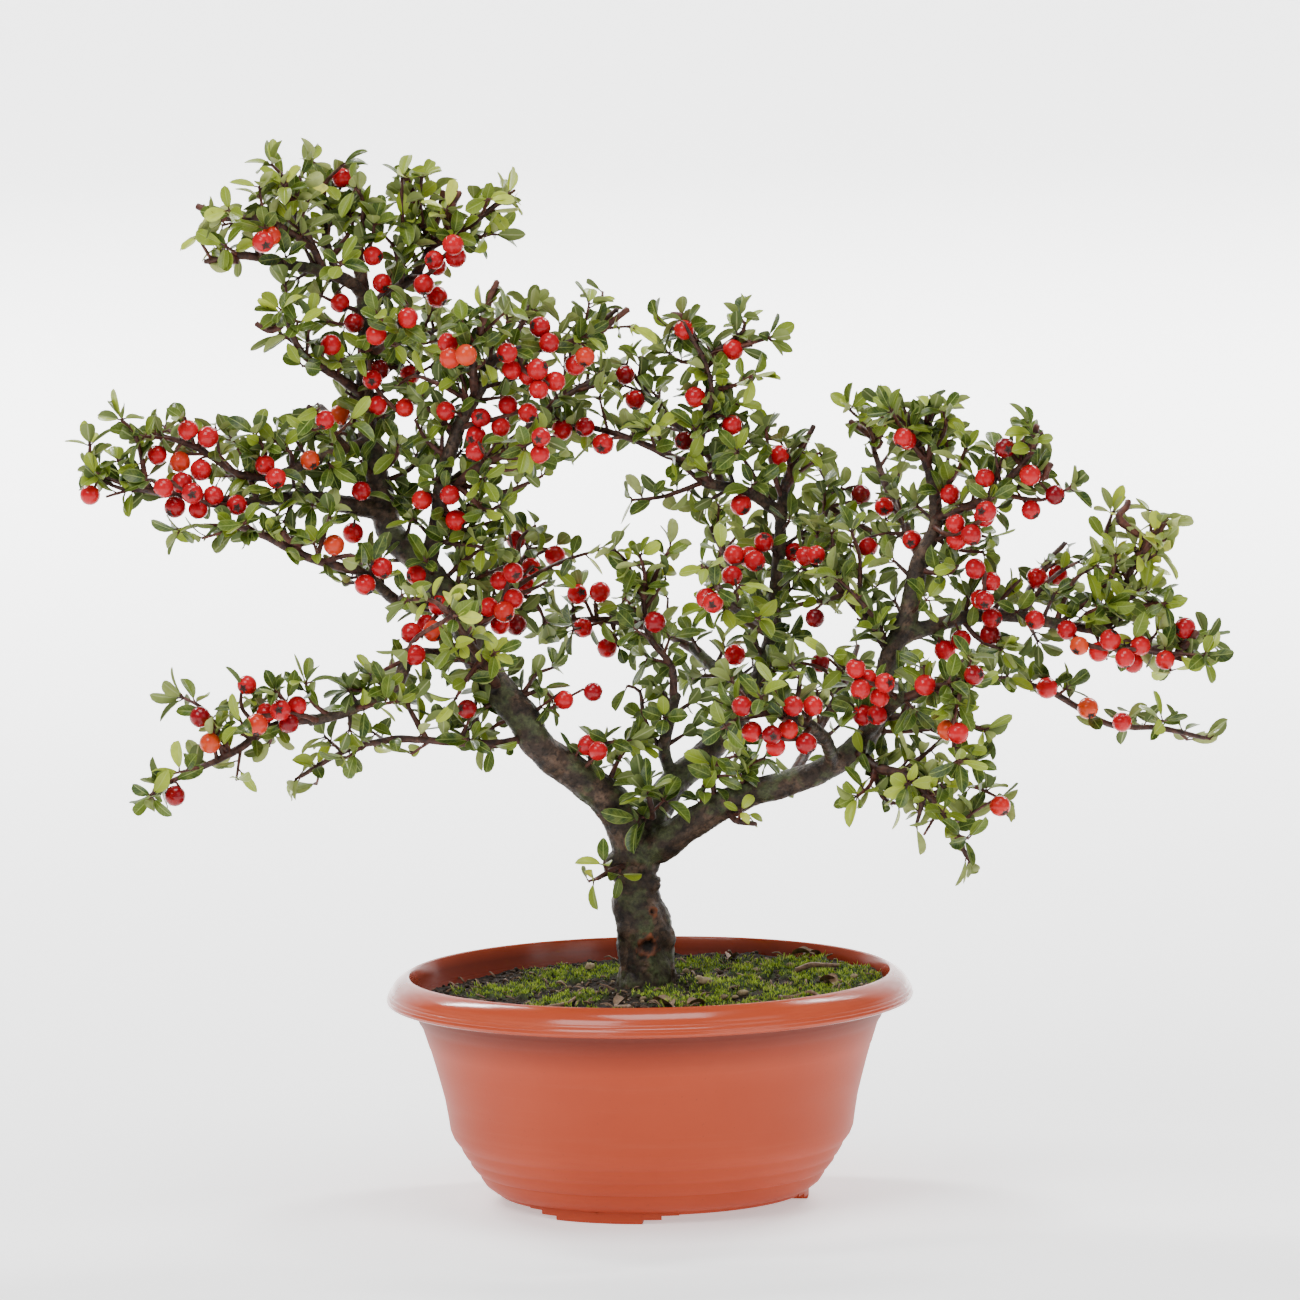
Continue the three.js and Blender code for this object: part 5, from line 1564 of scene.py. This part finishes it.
class Paint:
    """One material, built by calls that each add a shader node and return what comes out of it."""

    def __init__(self, name, **sockets):
        self.material = bpy.data.materials.new(name)
        self.material.use_nodes = True
        self.nodes = self.material.node_tree.nodes
        self.shader = self.nodes["Principled BSDF"]
        for socket, value in sockets.items():
            self.shader.inputs[socket.replace("_", " ").title().replace("Ior", "IOR")].default_value = value
        self.place = self.nodes.new("ShaderNodeTexCoord").outputs["Object"]
        split = self.nodes.new("ShaderNodeSeparateXYZ")
        attribute = self.nodes.new("ShaderNodeAttribute")
        attribute.attribute_name = "marks"
        self.feed(split.inputs[0], attribute.outputs["Vector"])
        self.marks = split.outputs

    def feed(self, socket, value):
        if isinstance(value, bpy.types.NodeSocket):
            self.material.node_tree.links.new(value, socket)
        else:
            socket.default_value = value

    def node(self, kind, **values):
        """A new shader node with some of its sockets fed."""
        node = self.nodes.new("ShaderNode" + kind)
        for socket, value in values.items():
            self.feed(node.inputs[socket], value)
        return node

    def noise(self, scale, detail=4, roughness=0.55, stretch=(1, 1, 1)):
        mapping = self.node("Mapping", Vector=self.place, Scale=stretch)
        values = {"Scale": scale, "Detail": detail, "Roughness": roughness}
        return self.node("TexNoise", Vector=mapping.outputs[0], **values).outputs["Fac"]

    def cells(self, scale):
        return self.node("TexVoronoi", Vector=self.place, Scale=scale).outputs["Distance"]

    def ramp(self, factor, *stops):
        """A value or colour run between stops of (position, value or colour)."""
        node = self.node("ValToRGB", Fac=factor)
        elements = node.color_ramp.elements
        while len(elements) < len(stops):
            elements.new(0.5)
        for element, (position, colour) in zip(elements, stops):
            element.position = position
            element.color = with_alpha(colour)
        return node.outputs[0]

    def mix(self, factor, first, second):
        node = self.node("Mix")
        node.data_type = "RGBA"
        self.feed(node.inputs[MIX_FACTOR], factor)
        for socket, value in ((MIX_FIRST, first), (MIX_SECOND, second)):
            is_socket = isinstance(value, bpy.types.NodeSocket)
            self.feed(node.inputs[socket], value if is_socket else with_alpha(value))
        return node.outputs[2]

    def math(self, operation, first, second=0.0):
        node = self.node("Math")
        node.operation = operation
        self.feed(node.inputs[0], first)
        self.feed(node.inputs[1], second)
        return node.outputs[0]

    def bump(self, height, distance):
        node = self.node("Bump", Distance=distance * MM, Height=height)
        self.feed(self.shader.inputs["Normal"], node.outputs[0])

    def colour(self, value):
        self.feed(self.shader.inputs["Base Color"], value)

    def roughness(self, value):
        self.feed(self.shader.inputs["Roughness"], value)

    def shine(self, value):
        self.feed(self.shader.inputs["Specular IOR Level"], value)


def pot_material():
    paint = Paint("pot_plastic", specular_ior_level=0.2)
    polished, painted_lip_shade, inside = paint.marks
    base = paint.ramp(paint.noise(14, 2), (0.3, (0.35, 0.047, 0.017)), (0.75, (0.39, 0.056, 0.021)))
    bands = paint.noise(9, 4, 0.65, (1, 1, 22))
    pale = paint.math("MULTIPLY", paint.ramp(bands, (0.5, 0.0), (0.75, 1.0)), paint.mix(polished, 0.06, 0.16))
    base = paint.mix(pale, base, (0.6, 0.17, 0.1))
    # Painted shadow: the body darkens just below the lip and on the lip's underside, where the lip shades it.
    base = paint.mix(paint.math("MULTIPLY", painted_lip_shade, 0.8), base, (0.09, 0.016, 0.01))
    # Painted shade: the whole inside wall of the pot is darkened.
    base = paint.mix(paint.math("MULTIPLY", inside, 0.6), base, (0.1, 0.016, 0.01))
    dirt = paint.ramp(paint.noise(900, 2), (0.7, 0.0), (0.76, 0.55))
    paint.colour(paint.mix(dirt, base, (0.16, 0.04, 0.02)))
    gloss = paint.ramp(bands, (0.3, 0.13), (0.75, 0.22))
    paint.roughness(paint.mix(polished, 0.52, gloss))
    paint.shine(paint.mix(polished, 0.18, 0.36))
    paint.bump(paint.noise(700, 2), 0.03)
    return paint.material


def soil_material():
    paint = Paint("soil", roughness=0.85, specular_ior_level=0.12)
    crumbs = paint.noise(420, 5, 0.7)
    base = paint.ramp(
        crumbs, (0.3, (0.005, 0.003, 0.002)), (0.55, (0.017, 0.011, 0.007)), (0.8, (0.06, 0.038, 0.022)),
    )
    moss = paint.ramp(crumbs, (0.35, (0.012, 0.022, 0.005)), (0.7, (0.05, 0.075, 0.016)))
    paint.colour(paint.mix(paint.marks[0], base, moss))
    paint.bump(crumbs, 1.2)
    return paint.material


def moss_material():
    paint = Paint("moss", roughness=0.75, specular_ior_level=0.12)
    base = paint.ramp(
        paint.marks[1], (0, (0.12, 0.22, 0.012)), (0.4, (0.4, 0.6, 0.04)), (0.75, (0.66, 0.82, 0.1)),
        (1, (0.6, 0.62, 0.18)),
    )
    shade = paint.mix(paint.marks[0], (0.008, 0.012, 0.003), base)
    patches = paint.ramp(paint.noise(90, 2), (0.5, 0.0), (0.66, 0.7))
    paint.colour(paint.mix(patches, shade, (0.05, 0.08, 0.014)))
    return paint.material


def grit_material(name, dark, light):
    paint = Paint(name, roughness=0.8, specular_ior_level=0.15)
    base = paint.ramp(paint.marks[0], (0, dark), (1, light))
    grain = paint.noise(1100, 3)
    paint.colour(paint.mix(paint.ramp(grain, (0.4, 0.0), (0.7, 0.6)), base, dark))
    paint.bump(grain, 0.2)
    return paint.material


def bark_material():
    paint = Paint("bark", roughness=0.5, specular_ior_level=0.25)
    fine = paint.noise(620, 5, 0.7)
    coarse = paint.noise(170, 4, 0.65)
    base = paint.ramp(
        coarse, (0.3, (0.009, 0.006, 0.005)), (0.5, (0.042, 0.026, 0.017)), (0.74, (0.15, 0.09, 0.058)),
    )
    # Painted shade: the bark turns almost black in its cracks and in the hollows of cut scars.
    base = paint.mix(paint.ramp(paint.marks[1], (0.0, 0.75), (0.6, 0.0)), base, (0.004, 0.003, 0.002))
    flecks = paint.ramp(fine, (0.68, 0.0), (0.76, 0.55))
    base = paint.mix(flecks, base, (0.17, 0.12, 0.085))
    moss = paint.ramp(fine, (0.35, (0.018, 0.024, 0.008)), (0.65, (0.085, 0.11, 0.045)))
    mask = paint.math("MULTIPLY", paint.marks[0], paint.ramp(coarse, (0.36, 0.0), (0.58, 0.85)))
    base = paint.mix(mask, base, moss)
    scar = paint.ramp(coarse, (0.35, (0.05, 0.018, 0.01)), (0.65, (0.2, 0.06, 0.022)))
    paint.colour(paint.mix(paint.marks[2], base, scar))
    paint.roughness(paint.ramp(fine, (0.35, 0.36), (0.7, 0.7)))
    paint.bump(paint.math("ADD", fine, paint.math("MULTIPLY", coarse, 2.0)), 0.5)
    return paint.material


def twig_material():
    """Reddish young wood to dark old wood, by the first mark."""
    paint = Paint("twig", roughness=0.5, specular_ior_level=0.25)
    grain = paint.noise(420, 3)
    young = paint.ramp(grain, (0.35, (0.045, 0.013, 0.01)), (0.7, (0.15, 0.045, 0.028)))
    old = paint.ramp(grain, (0.35, (0.01, 0.006, 0.005)), (0.7, (0.06, 0.032, 0.022)))
    paint.colour(paint.mix(paint.marks[0], young, old))
    paint.bump(grain, 0.3)
    return paint.material


def leaf_top_material():
    paint = Paint("leaf_top", roughness=0.34, specular_ior_level=0.2, coat_weight=0.08, coat_roughness=0.1)
    along, across, tone = paint.marks
    base = paint.ramp(
        tone, (0.0, (0.018, 0.042, 0.004)), (0.25, (0.055, 0.095, 0.008)), (0.5, (0.215, 0.285, 0.02)),
        (0.8, (0.46, 0.54, 0.05)), (1.0, (0.68, 0.66, 0.1)),
    )
    patches = paint.noise(300, 2)
    base = paint.mix(paint.ramp(patches, (0.4, 0.0), (0.7, 0.4)), base, (0.2, 0.24, 0.035))
    width = paint.math("ABSOLUTE", across)
    vein_run = paint.math("SUBTRACT", paint.math("MULTIPLY", along, 7.0), paint.math("MULTIPLY", width, 1.6))
    veins = paint.math("ABSOLUTE", paint.math("SUBTRACT", paint.math("FRACT", vein_run), 0.5))
    veins = paint.ramp(veins, (0.0, 0.12), (0.14, 0.0))
    rib = paint.ramp(width, (0.03, 0.45), (0.1, 0.0))
    margin = paint.ramp(width, (0.86, 0.0), (1.0, 0.4))
    lines = paint.math("MAXIMUM", paint.math("MAXIMUM", veins, rib), margin)
    base = paint.mix(lines, base, (0.4, 0.5, 0.12))
    blight = paint.math("MULTIPLY", paint.ramp(patches, (0.72, 0.0), (0.75, 1.0)), tone)
    base = paint.mix(blight, base, (0.05, 0.02, 0.008))
    paint.colour(base)
    paint.bump(paint.math("MULTIPLY", lines, -1.0), 0.2)
    return paint.material


def leaf_under_material():
    paint = Paint("leaf_under", roughness=0.6, specular_ior_level=0.2)
    _, across, tone = paint.marks
    base = paint.ramp(tone, (0.0, (0.08, 0.115, 0.03)), (0.5, (0.25, 0.3, 0.08)), (1.0, (0.5, 0.54, 0.2)))
    rib = paint.ramp(paint.math("ABSOLUTE", across), (0.04, 0.8), (0.16, 0.0))
    base = paint.mix(rib, base, (0.34, 0.39, 0.16))
    patches = paint.ramp(paint.noise(400, 2), (0.5, 0.0), (0.75, 0.4))
    paint.colour(paint.mix(patches, base, (0.13, 0.15, 0.05)))
    return paint.material


def berry_material():
    paint = Paint("berry", roughness=0.22, specular_ior_level=0.18, coat_weight=0.22, coat_roughness=0.04)
    share, chance, _ = paint.marks
    ripe = paint.ramp(
        chance, (0.0, (0.13, 0.002, 0.006)), (0.25, (0.38, 0.003, 0.01)), (0.9, (0.52, 0.005, 0.012)),
        (1.0, (0.6, 0.06, 0.012)),
    )
    mottle = paint.noise(240, 3)
    base = paint.mix(paint.ramp(mottle, (0.45, 0.0), (0.75, 0.4)), ripe, (0.5, 0.012, 0.012))
    freckles = paint.ramp(paint.cells(1400), (0.0, 0.3), (0.16, 0.0))
    base = paint.mix(freckles, base, (0.52, 0.03, 0.025))
    eye = paint.ramp(share, (0.05, 1.0), (0.13, 0.0))
    paint.colour(paint.mix(eye, base, (0.07, 0.004, 0.004)))
    paint.bump(mottle, 0.06)
    return paint.material


def plain_material(name, colour, roughness):
    paint = Paint(name, roughness=roughness)
    darker = tuple(channel * 0.45 for channel in colour)
    grain = paint.noise(700, 4)
    paint.colour(paint.ramp(grain, (0.35, darker), (0.7, colour)))
    paint.bump(grain, 0.2)
    return paint.material


# How the leaves of some sprays differ in tone and size, and which sprays have few
SPRAY_LOOKS = {
    "front_shoot": {"tone": 0.25, "size": 1.15},
    "low_sprig": {"tone": 0.95, "size": 0.72, "sparse": True},
    "trunk_sucker": {"tone": 0.6, "size": 0.9, "sparse": True},
    "crown_left_tip": {"tone": 0.7},
    "crown_left_rise": {"tone": 0.72},
    "crown_right": {"tone": 0.7},
    "lower_left_tip": {"tone": 0.6, "size": 1.05},
    "far_right_tip": {"tone": 0.62},
    "centre_stem": {"tone": 0.3},
}
# Knots of the trunk: middle and radius
KNOTS = [
    ((4.8, -2, 100), 6), ((-8, -6, 104), 3.6), ((-12, -2, 128), 5), ((1.2, -4, 121), 4),
    ((-8, 1, 92), 4.4),
]
# Moss on the soil: x, y and radius
MOSS_PATCHES = [
    (-48, -52, 20), (-22, -68, 18), (18, -40, 16), (44, -58, 18), (62, -30, 20), (30, -8, 16), (70, 10, 16),
    (50, 34, 22), (14, 48, 20), (-26, 40, 22), (-54, 10, 18), (-30, -22, 14), (4, -24, 10), (78, -8, 10),
]
# Pebbles: the pixel where each lies, and its size
PEBBLE_PIXELS = [
    (590, 971, 2.1), (705, 986, 2.2), (699, 982, 1.6), (681, 999, 1.4), (724, 999, 1.6), (743, 997, 1.7),
    (735, 998, 1.3), (686, 974, 1.2), (757, 974, 1.8), (830, 984, 1.9), (854, 979, 1.6), (643, 1002, 1.4),
    (560, 985, 1.3), (790, 968, 1.5), (490, 968, 1.3),
]
# Litter: how many bits are scattered, twigs by x, y, angle in degrees and length, leaves by x, y and turn
LITTER_BITS = 300
LITTER_TWIGS = [
    (-39, -46, 55, 48), (20, -66, 70, 14), (56, -50, -30, 18), (-10, -52, 120, 12), (66, 24, 20, 22),
]
LITTER_LEAVES = [
    (58, 54, 0.6), (9, -56, 2.0), (63, 50, 2.8), (30, 60, 1.2), (13, -54, 0.7), (-8, -38, 4.2), (0, -40, 5.6),
    (72, -18, 2.6), (66, -14, 5.2),
]

LEAF_SLOT, UNDER_SLOT, TWIG_SLOT = 0, 1, 2
TWIG = twig_material()
LEAFY_MATERIALS = [leaf_top_material(), leaf_under_material(), TWIG]
BERRY_MATERIALS = [berry_material(), plain_material("calyx", (0.035, 0.018, 0.012), 0.8), TWIG]


def build_berries():
    """Every bunch of the solid model, then the berries that the photograph shows beside them."""
    known = []
    for index, (name, (stalk, count)) in enumerate(BUNCHES.items()):
        route, berries = bunch_berries(index, stalk, count)
        shape = Shape()
        tube(shape, route, 7, 2, TWIG_SLOT, (0.3, 0.5, draw(index, 150)), 0.2, index)
        for i, (centre, aim, _) in enumerate(berries):
            add_berry(shape, centre, (aim + Vector((0, 0.1, -0.4))).normalized(), index * 10 + i)
            known.append(centre)
        mesh = shape.mesh(f"fruit_{name}")
        piece(f"fruit_{name}", mesh, BERRY_MATERIALS, [f"berries_{name}"])
    for region, berries in seen_berries(known).items():
        shape = Shape()
        for centre, axis, carrier, key in berries:
            add_stalk(shape, carrier, centre, axis, key)
            add_berry(shape, centre, axis, key)
            known.append(centre)
        piece(f"loose_fruit_{region}", shape.mesh(f"loose_fruit_{region}"), BERRY_MATERIALS)
    return known


STALK_FEET = []
BERRY_CENTRES = build_berries()
BERRY_TREE = search_tree([(*photo_pixel(centre), 0) for centre in BERRY_CENTRES])
# What leaves keep clear of: berries and thick wood, each with the distance to keep
OBSTACLES = [(centre, BERRY_RADIUS + 1.2) for centre in BERRY_CENTRES]
for route in LIMBS.values():
    for point, radius, _ in zip(*curve_points(route, 3)):
        OBSTACLES.append((point, radius + 0.4))
OBSTACLE_TREE = search_tree([place for place, _ in OBSTACLES])
WOOD_PLACES = [point for stem in all_stems() for point in curve_points(stem, 3)[0]]

piece("pot_shell", pot_mesh(), [pot_material()], ["pot"], POT_CREASE)
piece("soil_body", soil_mesh(), [soil_material()], ["soil"], SOIL_CREASE)
piece("moss_tufts", moss_mesh(), [moss_material()], (), SOIL_CREASE)
piece("soil_grains", grains_mesh(), [
    grit_material("grit_dark", (0.01, 0.007, 0.005), (0.06, 0.038, 0.024)),
    grit_material("grit_pale", (0.07, 0.045, 0.025), (0.3, 0.23, 0.13)),
])
piece("soil_litter", litter_mesh(), [
    plain_material("dead_twig", (0.2, 0.115, 0.065), 0.8),
    plain_material("dead_leaf", (0.2, 0.11, 0.05), 0.7),
])
piece("wood_bark", wood_mesh(), [bark_material()], ["wood"], NO_CREASE)
for index, (name, spray) in enumerate(SPRAYS.items()):
    leafy_spray(index, name, *spray)
for index, name in enumerate(SPUR_STRETCHES):
    leafy_spurs(index, name)
for index, region in enumerate(TWIG_PIXELS):
    pixel_twigs(index, region)
bare_tips()
stalk_leaves()


# Floor, light and camera


# The stage, in metres: how far the floor reaches, where the backdrop stands, its bend and its top
FLOOR_REACH = 12
BACKDROP = 9
BACKDROP_BEND = 3
BACKDROP_TOP = 8
# Lights: place, what each is aimed at, size in metres and power in watts
TREE_MIDDLE = (0, 0, 0.2)
LIGHTS = {
    "key": ((-1.3, -2.0, 2.2), TREE_MIDDLE, 1.4, 60),
    "fill": ((1.8, -1.8, 1.2), TREE_MIDDLE, 1.6, 14),
    "top": ((0.1, -0.5, 2.5), TREE_MIDDLE, 1.2, 42),
    "backdrop_left": ((-2.2, 2.6, 3.4), (-0.4, 6, 0), 1.6, 620),
    "backdrop_right": ((2.2, 2.6, 3.4), (0.4, 6, 0), 1.6, 620),
}
SKY_COLOUR = (0.95, 0.97, 1, 1)
SKY_STRENGTH = 0.27
CAMERA_REACH = 50


def add_floor():
    """A pale floor that curves up into a backdrop far behind."""
    start = BACKDROP - BACKDROP_BEND
    profile = [(-FLOOR_REACH, 0), (start, 0)]
    for degrees in range(6, 91, 6):
        angle = math.radians(degrees)
        profile.append((start + BACKDROP_BEND * math.sin(angle), BACKDROP_BEND * (1 - math.cos(angle))))
    profile.append((BACKDROP, BACKDROP_TOP))
    points = [(side * FLOOR_REACH, y, z) for y, z in profile for side in (-1, 1)]
    faces = [(2 * i, 2 * i + 1, 2 * i + 3, 2 * i + 2) for i in range(len(profile) - 1)]
    mesh = bpy.data.meshes.new("floor")
    mesh.from_pydata(points, [], faces)
    mesh.polygons.foreach_set("use_smooth", [True] * len(mesh.polygons))
    paint = Paint("floor", roughness=0.9, emission_color=(1, 1, 1, 1), emission_strength=0.6)
    paint.colour((0.95, 0.95, 0.95, 1))
    mesh.materials.append(paint.material)
    floor = bpy.data.objects.new("floor", mesh)
    bpy.context.scene.collection.objects.link(floor)


def add_light(name, place, aim, size, power):
    light = bpy.data.lights.new(name, "AREA")
    light.size = size
    light.energy = power
    item = bpy.data.objects.new(name, light)
    item.location = place
    item.rotation_euler = (Vector(aim) - Vector(place)).to_track_quat("-Z", "Y").to_euler()
    bpy.context.scene.collection.objects.link(item)


def add_camera():
    camera = bpy.data.cameras.new("camera")
    camera.sensor_width = SENSOR
    camera.lens = FOCAL_PIXELS * SENSOR / PHOTO_SIZE
    camera.clip_end = CAMERA_REACH
    item = bpy.data.objects.new("camera", camera)
    bpy.context.scene.collection.objects.link(item)
    place = (Vector(CAMERA_PLACE) - Vector((MIDDLE_X, 0, 0))) * MM
    item.matrix_world = (
        Matrix.Translation(place) @ Matrix.Rotation(math.pi / 2 - CAMERA_PITCH, 4, "X")
        @ Matrix.Rotation(-CAMERA_ROLL, 4, "Z")
    )
    bpy.context.scene.camera = item


def add_world():
    world = bpy.data.worlds.new("studio")
    world.use_nodes = True
    background = world.node_tree.nodes["Background"]
    background.inputs["Color"].default_value = SKY_COLOUR
    background.inputs["Strength"].default_value = SKY_STRENGTH
    bpy.context.scene.world = world


add_floor()
add_world()
for name, setting in LIGHTS.items():
    add_light(name, *setting)
add_camera()

bpy.context.view_layer.update()
